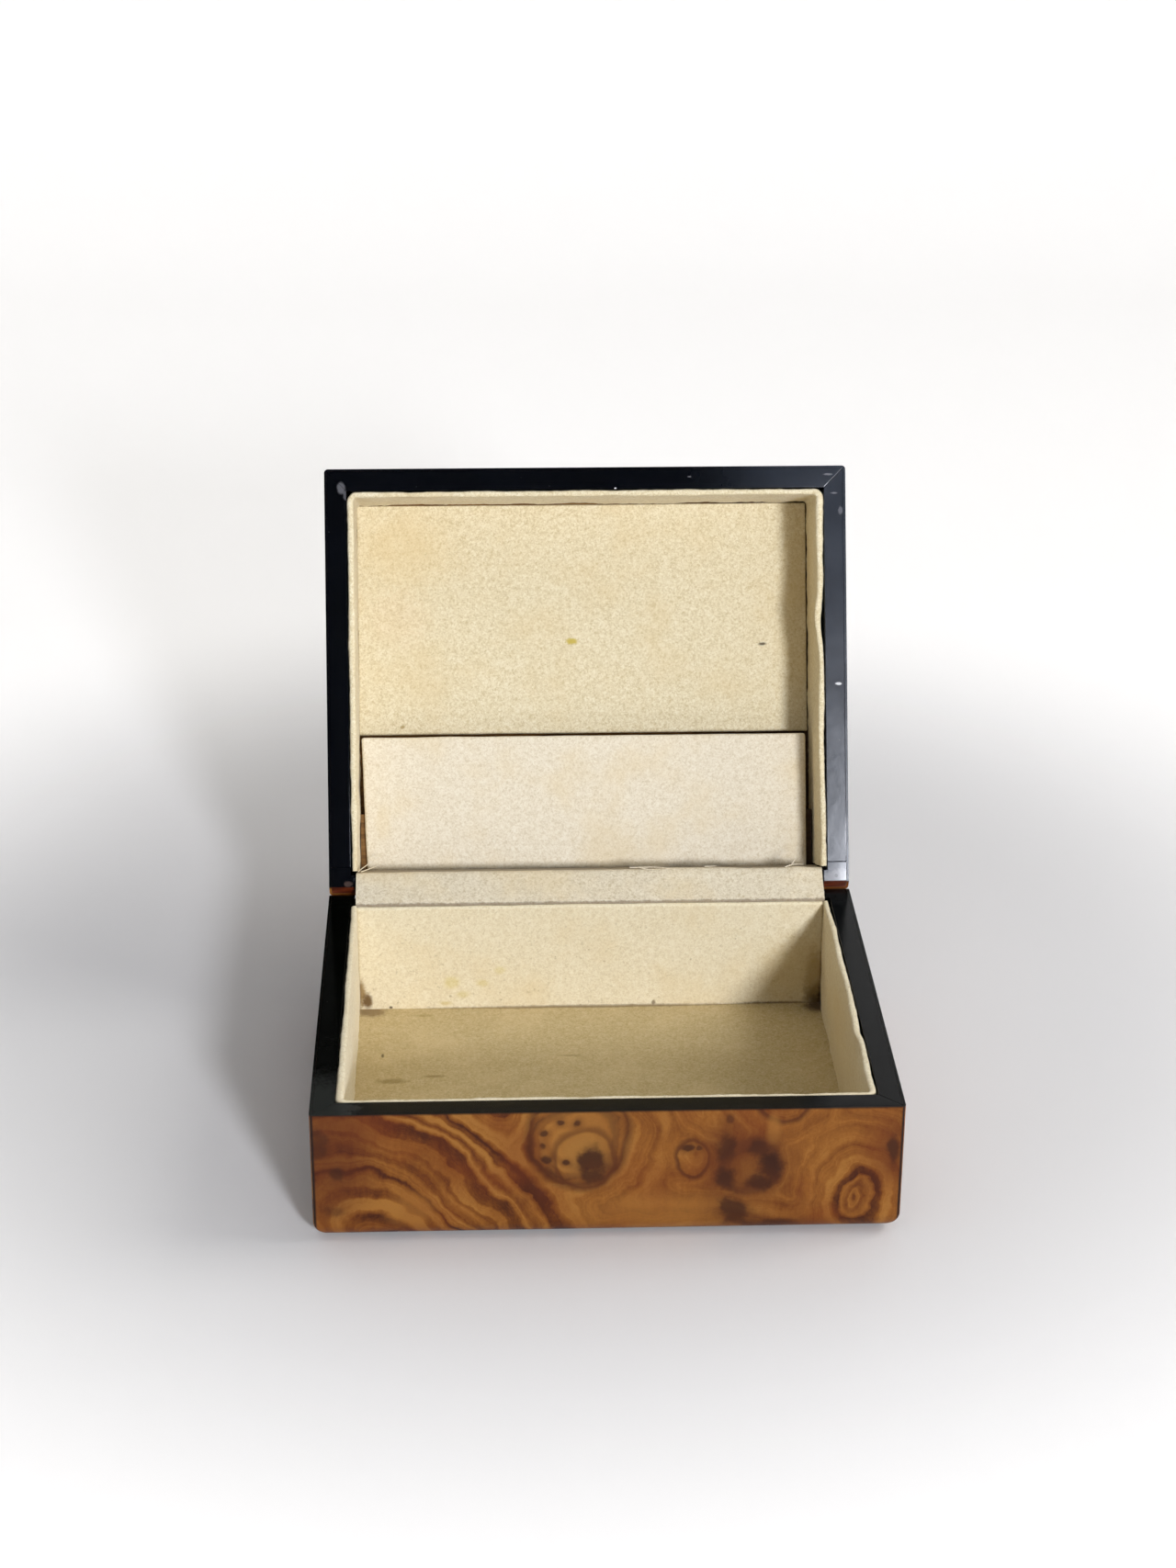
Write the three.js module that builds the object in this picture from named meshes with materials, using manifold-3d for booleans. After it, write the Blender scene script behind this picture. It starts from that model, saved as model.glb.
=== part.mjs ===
// Hinged wooden presentation box, shown open: two trays of lacquered wood in burl
// veneer, lined with velour, joined at the back by two stop hinges.
// Millimetres, +Z up, +Y towards the hinges, origin at the centre of the underside.

import * as THREE from 'three';
import { mergeVertices } from 'three/addons/utils/BufferGeometryUtils.js';
import Module from 'manifold-3d';

const wasm = await Module();
wasm.setup();

// The closed box
const BOX_WIDTH = 180;
const BOX_DEPTH = 147;
const BASE_HEIGHT = 45;
const LID_HEIGHT = 39.5;
const EDGE_ROUND = 6.5;
const CORNER_ROUND = 1.2;
const BASE_REAR_BEVEL = 0.6;
const LID_REAR_BEVEL = 3;
const OPENING_ANGLE = THREE.MathUtils.degToRad(113.5);

// Boards, veneer and linings
const WALL = 7.5;
const HINGE_WALL = 7;
const VENEER = 0.8;
const BOARD = 1.8;
const BOARD_REBATE = 1;
const PAD = 1.2;
const LINING = 2;
const LINING_DROP = 0.3;
const FELT_PROUD = 0.5;

// Fits
const GLUE_GAP = 0.3;
const RIM_GAP = 0.4;
const CUT_OVERRUN = 1;

// The pocket board in the lid and the two blocks that carry it
const POCKET_BOARD = 2;
const POCKET_SIDE_GAP = 2.5;
const POCKET_BOARD_LENGTH = 47.1;
const POCKET_DEPTH = 11.2;
const POCKET_TOP_GAP = 0.8;
const POCKET_LINING_OVERLAP = 1.2;
const POCKET_BLOCK_WIDTH = 14;
const POCKET_BLOCK_LENGTH = 20;

// Hinges: leaf, barrel, pin and screws
const HINGE_INSET = 0.5;
const HINGE_FROM_SIDE = 45;
const HINGE_LENGTH = 26;
const BARREL_LENGTH = 20;
const BARREL_RADIUS = 1.5;
const PIN_RADIUS = 0.75;
const PIN_CLEARANCE = 0.1;
const KNUCKLE_COUNT = 5;
const KNUCKLE_GAP = 0.3;
const LEAF = 0.8;
const LEAF_WIDTH = 3.3;
const LEAF_SEAT_GAP = 0.3;
const STOP_GAP = 0.3;
const SCREW_SPACING = 15;
const SCREW_HEAD_RADIUS = 1.25;
const SCREW_SHANK_RADIUS = 0.6;
const SCREW_LENGTH = 6;
const SCREW_GAP = 0.2;

// The cloth over the hinges
const CLOTH = 0.6;
const CLOTH_TUCK = 3.5;

// Facets
const ROUND_SEGMENTS = 8;
const CORNER_SEGMENTS = 4;
const BARREL_SEGMENTS = 24;
const SCREW_SEGMENTS = 16;

// Places that several pieces share, measured from the hinge axis: y runs from the
// hinge wall's side towards +Y, z upwards, with the rim a little below the axis.
const RIM_Z = -RIM_GAP / 2;
const REAR_FACE = HINGE_INSET;
const FRONT_FACE = HINGE_INSET - BOX_DEPTH;
const TRAY_CENTRE = (REAR_FACE + FRONT_FACE) / 2;
const HINGE_WALL_INNER = REAR_FACE - HINGE_WALL;
const FRONT_WALL_INNER = FRONT_FACE + WALL;
const SIDE_WALL_INNER = BOX_WIDTH / 2 - WALL;
const SIDE_LINING_FACE = SIDE_WALL_INNER - GLUE_GAP - LINING;
const LEAF_UNDERSIDE = -BARREL_RADIUS;
const LEAF_TOP = LEAF_UNDERSIDE + LEAF;
const HINGE_RECESS_FLOOR = LEAF_UNDERSIDE - LEAF_SEAT_GAP;
const LEAF_ROOT = -(BARREL_RADIUS + KNUCKLE_GAP);
const SCREW_ROW = LEAF_ROOT - LEAF_WIDTH / 2;
const HINGE_PLACE = BOX_WIDTH / 2 - HINGE_FROM_SIDE;

// Finishes
const burl = () => new THREE.MeshStandardMaterial({ color: 0x8a5020, roughness: 0.22, metalness: 0 });
const lacquer = () => new THREE.MeshStandardMaterial({ color: 0x14161c, roughness: 0.3, metalness: 0 });
const velour = () => new THREE.MeshStandardMaterial({ color: 0xd8c79a, roughness: 0.95, metalness: 0 });
const felt = () => new THREE.MeshStandardMaterial({ color: 0x2b2a28, roughness: 1, metalness: 0 });
const rawWood = () => new THREE.MeshStandardMaterial({ color: 0xa9763f, roughness: 0.7, metalness: 0 });
const brass = () => new THREE.MeshStandardMaterial({ color: 0xb08d4a, roughness: 0.35, metalness: 1 });

// A closed solid of merged positions, ready for joining and cutting
function solid(geometry) {
  const bare = geometry.index ? geometry.toNonIndexed() : geometry.clone();
  bare.deleteAttribute('normal');
  bare.deleteAttribute('uv');
  const merged = mergeVertices(bare);
  return new wasm.Manifold(new wasm.Mesh({
    numProp: 3,
    vertProperties: new Float32Array(merged.attributes.position.array),
    triVerts: new Uint32Array(merged.index.array),
  }));
}

function geometryOf(body) {
  const mesh = body.getMesh();
  const geometry = new THREE.BufferGeometry();
  geometry.setAttribute('position', new THREE.BufferAttribute(mesh.vertProperties, 3));
  geometry.setIndex(new THREE.BufferAttribute(mesh.triVerts, 1));
  geometry.computeVertexNormals();
  return geometry;
}

function node(name, geometry, material) {
  const mesh = new THREE.Mesh(geometry, material);
  mesh.name = name;
  return mesh;
}

// A rectangular board between two corners
function board([x0, y0, z0], [x1, y1, z1]) {
  const box = new THREE.BoxGeometry(x1 - x0, y1 - y0, z1 - z0);
  return box.translate((x0 + x1) / 2, (y0 + y1) / 2, (z0 + z1) / 2);
}

function shapeOf(points) {
  return new THREE.Shape(points.map(([a, b]) => new THREE.Vector2(a, b)));
}

// A profile in the Y-Z plane, run along X from x0 to x1
function alongX(points, x0, x1) {
  const run = new THREE.ExtrudeGeometry(shapeOf(points), { depth: x1 - x0, bevelEnabled: false });
  run.rotateX(Math.PI / 2);
  run.rotateZ(Math.PI / 2);
  return run.translate(x0, 0, 0);
}

function rodAlongX(radius, x0, x1, segments) {
  const rod = new THREE.CylinderGeometry(radius, radius, x1 - x0, segments);
  return rod.rotateZ(Math.PI / 2).translate((x0 + x1) / 2, 0, 0);
}

// Moulding profiles, drawn as (distance in from the outer face, height from the rim)

function veneerProfile(height) {
  const inner = EDGE_ROUND - VENEER;
  const profile = new THREE.Shape();
  profile.moveTo(VENEER, 0);
  profile.lineTo(0, 0);
  profile.lineTo(0, EDGE_ROUND - height);
  profile.absarc(EDGE_ROUND, EDGE_ROUND - height, EDGE_ROUND, Math.PI, 1.5 * Math.PI, false);
  profile.lineTo(EDGE_ROUND, VENEER - height);
  profile.absarc(EDGE_ROUND, EDGE_ROUND - height, inner, 1.5 * Math.PI, Math.PI, true);
  profile.closePath();
  return profile;
}

// Where the closing board's edge sits in a wall's rebate
function rebateEdge(wall) {
  return Math.min(wall, Math.max(wall - BOARD_REBATE, EDGE_ROUND));
}

function boardLevels(height) {
  const outer = VENEER + GLUE_GAP - height;
  return { outer, inner: outer + BOARD };
}

function wallProfile(height, wall) {
  const skin = VENEER + GLUE_GAP;
  const radius = EDGE_ROUND - skin;
  const seat = rebateEdge(wall);
  const levels = boardLevels(height);
  const reach = Math.min(1, Math.max(0, (EDGE_ROUND - seat) / radius));
  const profile = new THREE.Shape();
  profile.moveTo(wall, 0);
  profile.lineTo(skin, 0);
  profile.lineTo(skin, EDGE_ROUND - height);
  profile.absarc(EDGE_ROUND, EDGE_ROUND - height, radius, Math.PI, Math.PI + Math.acos(reach), false);
  profile.lineTo(seat, levels.outer);
  if (seat < wall) {
    profile.lineTo(seat, levels.inner + GLUE_GAP);
    profile.lineTo(wall, levels.inner + GLUE_GAP);
  }
  profile.closePath();
  return profile;
}

// A moulding run along the front, its two ends set by how far in each point lies
function moulding(profile, startAt, endAt) {
  const run = new THREE.ExtrudeGeometry(profile, {
    depth: 1,
    bevelEnabled: false,
    curveSegments: ROUND_SEGMENTS,
  });
  const place = run.attributes.position;
  for (let i = 0; i < place.count; i += 1) {
    const inset = place.getX(i);
    const height = place.getY(i);
    const along = THREE.MathUtils.lerp(startAt(inset), endAt(inset), place.getZ(i));
    place.setXYZ(i, along, inset, height);
  }
  return run;
}

// The moulding turned to one side of a tray and set against its outer face
function onSide(geometry, side) {
  const turns = { front: 0, right: 0.5, rear: 1, left: -0.5 };
  const reach = side === 'front' || side === 'rear' ? BOX_DEPTH / 2 : BOX_WIDTH / 2;
  geometry.translate(0, -reach, 0);
  geometry.rotateZ(turns[side] * Math.PI);
  return geometry.translate(0, TRAY_CENTRE, RIM_Z);
}

function sideReach(side) {
  return side === 'front' || side === 'rear' ? BOX_WIDTH / 2 : BOX_DEPTH / 2;
}

// Removes the 45 degree bevel along the back of the rim
function bevelCutter(bevel) {
  const start = REAR_FACE - bevel;
  const profile = [
    [start - CUT_OVERRUN, RIM_Z + CUT_OVERRUN],
    [REAR_FACE + CUT_OVERRUN, RIM_Z - bevel - CUT_OVERRUN],
    [REAR_FACE + CUT_OVERRUN, RIM_Z + CUT_OVERRUN],
  ];
  const reach = BOX_WIDTH / 2 + CUT_OVERRUN;
  return solid(alongX(profile, -reach, reach));
}

// The box seen from above, with its upright corners slightly rounded
function planOutline(height) {
  const x = BOX_WIDTH / 2;
  const y = BOX_DEPTH / 2;
  const r = CORNER_ROUND;
  const outline = new THREE.Shape();
  outline.absarc(x - r, y - r, r, 0, 0.5 * Math.PI, false);
  outline.absarc(r - x, y - r, r, 0.5 * Math.PI, Math.PI, false);
  outline.absarc(r - x, r - y, r, Math.PI, 1.5 * Math.PI, false);
  outline.absarc(x - r, r - y, r, 1.5 * Math.PI, 2 * Math.PI, false);
  outline.closePath();
  const run = new THREE.ExtrudeGeometry(outline, {
    depth: height + 2 * CUT_OVERRUN,
    bevelEnabled: false,
    curveSegments: CORNER_SEGMENTS,
  });
  return run.translate(0, TRAY_CENTRE, RIM_Z - height - CUT_OVERRUN);
}

// Removes the middle of the hinge wall's rim, for the hinge leaves and the cloth
function recessCutter() {
  return solid(board(
    [-SIDE_WALL_INNER, HINGE_WALL_INNER - CUT_OVERRUN, HINGE_RECESS_FLOOR],
    [SIDE_WALL_INNER, REAR_FACE + CUT_OVERRUN, RIM_Z + CUT_OVERRUN],
  ));
}

function veneerSheet(height, side, bevel) {
  const reach = sideReach(side);
  const mitre = (inset) => reach - inset - GLUE_GAP / 2;
  const blank = onSide(moulding(veneerProfile(height), (d) => -mitre(d), mitre), side);
  const sheet = solid(blank).intersect(solid(planOutline(height)));
  if (side === 'front') return geometryOf(sheet);
  const bevelled = sheet.subtract(bevelCutter(bevel));
  return geometryOf(side === 'rear' ? bevelled.subtract(recessCutter()) : bevelled);
}

// Front and side walls: mitred at the front corners, square against the hinge wall
function sideWall(height, side) {
  const reach = sideReach(side);
  const mitre = (inset) => reach - inset - GLUE_GAP / 2;
  const square = () => reach - HINGE_WALL - GLUE_GAP;
  const starts = side === 'left' ? square : mitre;
  const ends = side === 'right' ? square : mitre;
  return onSide(moulding(wallProfile(height, WALL), (d) => -starts(d), ends), side);
}

// The outline that the side walls' rounded edges give to whatever closes the tray
function endOutline(height) {
  const skin = VENEER + GLUE_GAP;
  const half = BOX_WIDTH / 2 - skin;
  const radius = EDGE_ROUND - skin;
  const low = skin - height;
  const outline = new THREE.Shape();
  outline.moveTo(half, CUT_OVERRUN);
  outline.lineTo(-half, CUT_OVERRUN);
  outline.absarc(radius - half, low + radius, radius, Math.PI, 1.5 * Math.PI, false);
  outline.absarc(half - radius, low + radius, radius, 1.5 * Math.PI, 2 * Math.PI, false);
  outline.closePath();
  const length = BOX_DEPTH;
  const run = new THREE.ExtrudeGeometry(outline, {
    depth: length,
    bevelEnabled: false,
    curveSegments: ROUND_SEGMENTS,
  });
  run.rotateX(Math.PI / 2);
  return run.translate(0, TRAY_CENTRE + length / 2, RIM_Z);
}

function screwPlaces() {
  const places = [];
  for (const side of [-1, 1]) {
    for (const end of [-1, 1]) {
      places.push({ side, end, x: side * HINGE_PLACE + end * SCREW_SPACING / 2 });
    }
  }
  return places;
}

// The hinge wall: lowered between the side walls for leaves and cloth, bevelled at
// the back and bored for the hinge screws
function hingeWall(height, bevel) {
  const reach = () => sideReach('rear') - VENEER - GLUE_GAP;
  const blank = onSide(moulding(wallProfile(height, HINGE_WALL), (d) => -reach(d), reach), 'rear');
  let wall = solid(blank).intersect(solid(endOutline(height)));
  wall = wall.subtract(bevelCutter(bevel)).subtract(recessCutter());
  for (const { x } of screwPlaces()) {
    wall = wall.subtract(solid(screwBore(SCREW_SHANK_RADIUS + SCREW_GAP, x)));
  }
  return geometryOf(wall);
}

function screwBore(radius, x) {
  const bottom = LEAF_TOP - SCREW_LENGTH - SCREW_GAP;
  const top = LEAF_TOP + CUT_OVERRUN;
  const bore = new THREE.CylinderGeometry(radius, radius, top - bottom, SCREW_SEGMENTS);
  return bore.rotateX(Math.PI / 2).translate(x, SCREW_ROW, (top + bottom) / 2);
}

// The thin board that closes a tray, dropped into the walls' rebates
function closingBoard(height) {
  const levels = boardLevels(height);
  const half = BOX_WIDTH / 2 - rebateEdge(WALL) - GLUE_GAP;
  const front = FRONT_FACE + rebateEdge(WALL) + GLUE_GAP;
  const rear = REAR_FACE - rebateEdge(HINGE_WALL) - GLUE_GAP;
  return board([-half, front, RIM_Z + levels.outer], [half, rear, RIM_Z + levels.inner]);
}

// Upright linings stand on the closing board, just below the rim
function liningFloor(height) {
  return RIM_Z + boardLevels(height).inner + GLUE_GAP;
}

function endLining(height, faceY, thicknessY, drop) {
  const half = SIDE_LINING_FACE - GLUE_GAP;
  const low = liningFloor(height);
  return board([-half, Math.min(faceY, faceY + thicknessY), low],
    [half, Math.max(faceY, faceY + thicknessY), RIM_Z - drop]);
}

function pad(height, front, rear) {
  const half = SIDE_LINING_FACE - GLUE_GAP;
  const low = liningFloor(height);
  return board([-half, front, low], [half, rear, low + PAD]);
}

const FRONT_LINING_BACK = FRONT_WALL_INNER + GLUE_GAP;
const FRONT_LINING_FACE = FRONT_LINING_BACK + LINING;
const REAR_LINING_BACK = HINGE_WALL_INNER - GLUE_GAP;
const REAR_LINING_FACE = REAR_LINING_BACK - LINING;
const CLOTH_REST = CLOTH + GLUE_GAP;

// One hinge leaf with its knuckles, screw holes and the two stop tails that meet the
// other leaf's tails when the lid is fully open
function leaf(centreX, ownsKnuckle) {
  const half = HINGE_LENGTH / 2;
  const overlap = LEAF_ROOT - LEAF_WIDTH / 2;
  let body = solid(board([-half, LEAF_ROOT - LEAF_WIDTH, LEAF_UNDERSIDE], [half, LEAF_ROOT, LEAF_TOP]));

  const pitch = BARREL_LENGTH / KNUCKLE_COUNT;
  for (let i = 0; i < KNUCKLE_COUNT; i += 1) {
    if (ownsKnuckle(i)) {
      const x0 = -BARREL_LENGTH / 2 + i * pitch + (i === 0 ? 0 : KNUCKLE_GAP / 2);
      const x1 = -BARREL_LENGTH / 2 + (i + 1) * pitch - (i === KNUCKLE_COUNT - 1 ? 0 : KNUCKLE_GAP / 2);
      body = body.add(solid(rodAlongX(BARREL_RADIUS, x0, x1, BARREL_SEGMENTS)));
      body = body.add(solid(board([x0, overlap, LEAF_UNDERSIDE], [x1, 0, LEAF_TOP])));
    }
  }

  const slope = Math.tan(OPENING_ANGLE / 2);
  const easing = STOP_GAP / 2 / Math.sin(OPENING_ANGLE / 2);
  const stopAt = (z) => -z / slope - easing;
  const tail = [
    [overlap, LEAF_UNDERSIDE],
    [stopAt(LEAF_UNDERSIDE), LEAF_UNDERSIDE],
    [stopAt(LEAF_TOP), LEAF_TOP],
    [overlap, LEAF_TOP],
  ];
  const inner = BARREL_LENGTH / 2 + KNUCKLE_GAP;
  body = body.add(solid(alongX(tail, inner, half))).add(solid(alongX(tail, -half, -inner)));

  const bore = rodAlongX(PIN_RADIUS + PIN_CLEARANCE, -half, half, BARREL_SEGMENTS);
  body = body.subtract(solid(bore));
  for (const end of [-1, 1]) {
    const hole = new THREE.CylinderGeometry(
      SCREW_HEAD_RADIUS + SCREW_GAP,
      SCREW_SHANK_RADIUS + SCREW_GAP,
      LEAF,
      SCREW_SEGMENTS,
    );
    hole.rotateX(Math.PI / 2).translate(end * SCREW_SPACING / 2, SCREW_ROW, (LEAF_TOP + LEAF_UNDERSIDE) / 2);
    body = body.subtract(solid(hole));
  }
  return geometryOf(body).translate(centreX, 0, 0);
}

function screw(x) {
  const top = LEAF_TOP;
  const neck = LEAF_UNDERSIDE;
  const tip = LEAF_TOP - SCREW_LENGTH;
  const profile = [
    [0, tip],
    [SCREW_SHANK_RADIUS, tip + SCREW_SHANK_RADIUS],
    [SCREW_SHANK_RADIUS, neck],
    [SCREW_HEAD_RADIUS, top],
    [0, top],
  ].map(([r, z]) => new THREE.Vector2(r, z));
  const turned = new THREE.LatheGeometry(profile, SCREW_SEGMENTS);
  return turned.rotateX(Math.PI / 2).translate(x, SCREW_ROW, 0);
}

// Everything that the two trays have alike, in places measured from the hinge axis.
// nameOf turns a side as seen inside the tray into the side seen from the front.
function tray(prefix, height, nameOf, ownsKnuckle) {
  const bevel = prefix === 'base' ? BASE_REAR_BEVEL : LID_REAR_BEVEL;
  const group = new THREE.Group();
  for (const side of ['front', 'left', 'right']) {
    group.add(node(`${prefix}_${nameOf(side)}_wall`, sideWall(height, side), lacquer()));
  }
  group.add(node(`${prefix}_hinge_wall`, hingeWall(height, bevel), lacquer()));
  for (const side of ['front', 'left', 'right', 'rear']) {
    const label = side === 'rear' ? 'hinge_side' : nameOf(side);
    group.add(node(`${prefix}_${label}_veneer`, veneerSheet(height, side, bevel), burl()));
  }
  group.add(node(`${prefix}_board`, closingBoard(height), rawWood()));
  const front = endLining(height, FRONT_LINING_FACE, -LINING, LINING_DROP);
  group.add(node(`${prefix}_front_lining`, front, velour()));
  for (const side of [-1, 1]) {
    const label = nameOf(side < 0 ? 'left' : 'right');
    const made = leaf(side * HINGE_PLACE, ownsKnuckle);
    group.add(node(`${prefix}_${label}_hinge_leaf`, made, brass()));
  }
  for (const { side, end, x } of screwPlaces()) {
    const hinge = nameOf(side < 0 ? 'left' : 'right');
    const place = side * end < 0 ? 'inner' : 'outer';
    group.add(node(`${prefix}_${hinge}_hinge_${place}_screw`, screw(x), brass()));
  }
  return group;
}

// The base, with its lined well and the felt that it stands on
const baseShell = BASE_HEIGHT - FELT_PROUD;
const base = tray('base', baseShell, (side) => side, (i) => i % 2 === 0);
for (const side of [-1, 1]) {
  const back = side * (SIDE_WALL_INNER - GLUE_GAP);
  const face = side * SIDE_LINING_FACE;
  const lining = board(
    [Math.min(back, face), FRONT_LINING_BACK, liningFloor(baseShell)],
    [Math.max(back, face), REAR_LINING_BACK, RIM_Z - LINING_DROP],
  );
  base.add(node(side < 0 ? 'base_left_lining' : 'base_right_lining', lining, velour()));
}
const rearLining = endLining(baseShell, REAR_LINING_FACE, LINING, CLOTH_REST);
base.add(node('base_rear_lining', rearLining, velour()));
const floorPad = pad(baseShell, FRONT_LINING_FACE + GLUE_GAP, REAR_LINING_FACE - GLUE_GAP);
base.add(node('base_floor_lining', floorPad, velour()));

const feltEdge = EDGE_ROUND + GLUE_GAP;
const feltHalf = BOX_WIDTH / 2 - feltEdge;
const underFelt = board(
  [-feltHalf, FRONT_FACE + feltEdge, RIM_Z - BASE_HEIGHT],
  [feltHalf, REAR_FACE - feltEdge, RIM_Z - BASE_HEIGHT + FELT_PROUD + VENEER],
);
base.add(node('base_underside_felt', underFelt, felt()));

// The pins stay with the base's leaves
for (const side of [-1, 1]) {
  const pin = rodAlongX(PIN_RADIUS, -BARREL_LENGTH / 2, BARREL_LENGTH / 2, BARREL_SEGMENTS);
  pin.translate(side * HINGE_PLACE, 0, 0);
  base.add(node(side < 0 ? 'left_hinge_pin' : 'right_hinge_pin', pin, brass()));
}

// The lid is the same tray turned end for end, so its left and right change places
const seenFromFront = { front: 'front', left: 'right', right: 'left' };
const lid = tray('lid', LID_HEIGHT, (side) => seenFromFront[side], (i) => i % 2 === 1);

const topEdge = EDGE_ROUND + GLUE_GAP;
const topHalf = BOX_WIDTH / 2 - topEdge;
const topVeneer = board(
  [-topHalf, FRONT_FACE + topEdge, RIM_Z - LID_HEIGHT],
  [topHalf, REAR_FACE - topEdge, RIM_Z - LID_HEIGHT + VENEER],
);
lid.add(node('lid_top_veneer', topVeneer, burl()));

// The pocket board stands off the lid's board, with the velour panel above it
const pocketStart = HINGE_WALL_INNER - GLUE_GAP;
const pocketEnd = pocketStart - POCKET_BOARD_LENGTH;
const pocketBack = liningFloor(LID_HEIGHT) + PAD + POCKET_DEPTH;
const pocketFace = pocketBack + POCKET_BOARD;
const pocketHalf = SIDE_LINING_FACE - POCKET_SIDE_GAP;
const pocketBoard = board(
  [-pocketHalf, pocketEnd, pocketBack],
  [pocketHalf, pocketStart, pocketFace],
);
lid.add(node('lid_pocket_board', pocketBoard, velour()));
const panel = pad(LID_HEIGHT, FRONT_LINING_FACE + GLUE_GAP, pocketEnd - POCKET_TOP_GAP);
lid.add(node('lid_panel', panel, velour()));

for (const side of [-1, 1]) {
  const label = side < 0 ? 'right' : 'left';
  const outer = side * (SIDE_LINING_FACE - GLUE_GAP);
  const inner = outer - side * POCKET_BLOCK_WIDTH;
  const blockLow = liningFloor(LID_HEIGHT);
  const block = board(
    [Math.min(outer, inner), pocketStart - POCKET_BLOCK_LENGTH, blockLow],
    [Math.max(outer, inner), pocketStart, pocketBack - GLUE_GAP],
  );
  lid.add(node(`lid_${label}_pocket_block`, block, rawWood()));

  // Full depth beside the panel, cut short beside the pocket board
  const low = liningFloor(LID_HEIGHT);
  const shortLow = pocketBack - POCKET_LINING_OVERLAP;
  const profile = [
    [FRONT_LINING_BACK, low],
    [pocketEnd, low],
    [pocketEnd, shortLow],
    [REAR_LINING_BACK, shortLow],
    [REAR_LINING_BACK, RIM_Z - LINING_DROP],
    [FRONT_LINING_BACK, RIM_Z - LINING_DROP],
  ];
  const from = side < 0 ? -SIDE_LINING_FACE - LINING : SIDE_LINING_FACE;
  const lining = alongX(profile, from, from + LINING);
  lid.add(node(`lid_${label}_lining`, lining, velour()));
}

// The hinge cloth lies on the rear lining of the base, rises over the hinges and is
// tucked behind the lid's hinge wall
const lean = Math.PI - OPENING_ANGLE;
function lidPoint(y, z) {
  const along = -y;
  return [
    along * Math.cos(lean) - z * Math.sin(lean),
    along * Math.sin(lean) + z * Math.cos(lean),
  ];
}
const clothFold = RIM_Z - CLOTH_REST + GLUE_GAP;
const tuck = HINGE_WALL_INNER - GLUE_GAP;
const clothPath = [
  [REAR_LINING_FACE, clothFold],
  [REAR_LINING_BACK, clothFold],
  lidPoint(tuck, RIM_Z),
  lidPoint(tuck, RIM_Z - CLOTH_TUCK),
  lidPoint(tuck - CLOTH, RIM_Z - CLOTH_TUCK),
  lidPoint(tuck - CLOTH, RIM_Z + CLOTH),
  [REAR_LINING_BACK, clothFold + CLOTH],
  [REAR_LINING_FACE, clothFold + CLOTH],
];
const clothHalf = SIDE_LINING_FACE - GLUE_GAP;
base.add(node('hinge_cloth', alongX(clothPath, -clothHalf, clothHalf), velour()));

const hinged = new THREE.Group();
hinged.rotation.x = lean;
lid.rotation.z = Math.PI;
hinged.add(lid);

const box = new THREE.Group();
const axisHeight = BASE_HEIGHT + RIM_GAP / 2;
const axisPlace = BOX_DEPTH / 2 - HINGE_INSET;
base.position.set(0, axisPlace, axisHeight);
hinged.position.set(0, axisPlace, axisHeight);
box.add(base, hinged);

export default box;
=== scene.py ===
import math
import random

import bpy
from mathutils import Matrix, Vector


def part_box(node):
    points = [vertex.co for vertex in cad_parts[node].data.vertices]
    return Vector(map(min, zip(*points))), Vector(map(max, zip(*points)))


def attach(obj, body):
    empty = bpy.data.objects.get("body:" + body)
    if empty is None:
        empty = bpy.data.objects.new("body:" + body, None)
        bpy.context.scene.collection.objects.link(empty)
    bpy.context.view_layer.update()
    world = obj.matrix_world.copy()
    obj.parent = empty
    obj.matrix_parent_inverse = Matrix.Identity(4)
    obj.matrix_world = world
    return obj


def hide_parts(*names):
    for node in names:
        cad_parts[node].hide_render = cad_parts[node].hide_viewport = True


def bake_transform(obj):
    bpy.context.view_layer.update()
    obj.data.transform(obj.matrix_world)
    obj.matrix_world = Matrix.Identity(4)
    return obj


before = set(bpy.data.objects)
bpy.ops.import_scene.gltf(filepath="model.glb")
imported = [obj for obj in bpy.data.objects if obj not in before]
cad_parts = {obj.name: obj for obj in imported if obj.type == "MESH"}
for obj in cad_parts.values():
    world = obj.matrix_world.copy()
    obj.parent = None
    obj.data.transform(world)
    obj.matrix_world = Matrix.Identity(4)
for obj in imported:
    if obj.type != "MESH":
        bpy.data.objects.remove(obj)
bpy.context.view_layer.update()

# The view: the photograph was taken from the front, a little left of the middle,
# looking down about 25 degrees at the open box from under a metre away.
bpy.ops.object.camera_add(
    location=(-0.03669, -0.83154, 0.50121),
    rotation=(math.radians(65.366), math.radians(-0.256), math.radians(-2.150)),
)
camera = bpy.context.active_object
camera.name = "photograph_view"
camera.data.sensor_width = 36
camera.data.lens = 67.2
camera.data.clip_start = 0.01
bpy.context.scene.camera = camera
bpy.context.scene.view_settings.view_transform = "Standard"


# The studio: a closed tent of pale paper, whose floor, walls and roof run into each
# other in wide folds, with a low soft lamp at the front right that throws the wall
# shadows into the box and a wide lamp at the right.
def work_on(piece):
    bpy.ops.object.select_all(action="DESELECT")
    piece.select_set(True)
    bpy.context.view_layer.objects.active = piece


def settle():
    """Puts the active piece's place, turn and size into its mesh."""
    bpy.ops.object.transform_apply(location=True, rotation=True, scale=True)


def open_mesh(piece, kind, picks):
    """Starts editing a piece with only those of its vertices, edges or faces selected that picks says."""
    work_on(piece)
    bpy.ops.object.mode_set(mode="EDIT")
    bpy.ops.mesh.select_mode(type=kind)
    bpy.ops.mesh.select_all(action="DESELECT")
    bpy.ops.object.mode_set(mode="OBJECT")
    for part in {"VERT": piece.data.vertices, "EDGE": piece.data.edges, "FACE": piece.data.polygons}[kind]:
        part.select = picks(part)
    bpy.ops.object.mode_set(mode="EDIT")


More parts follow.
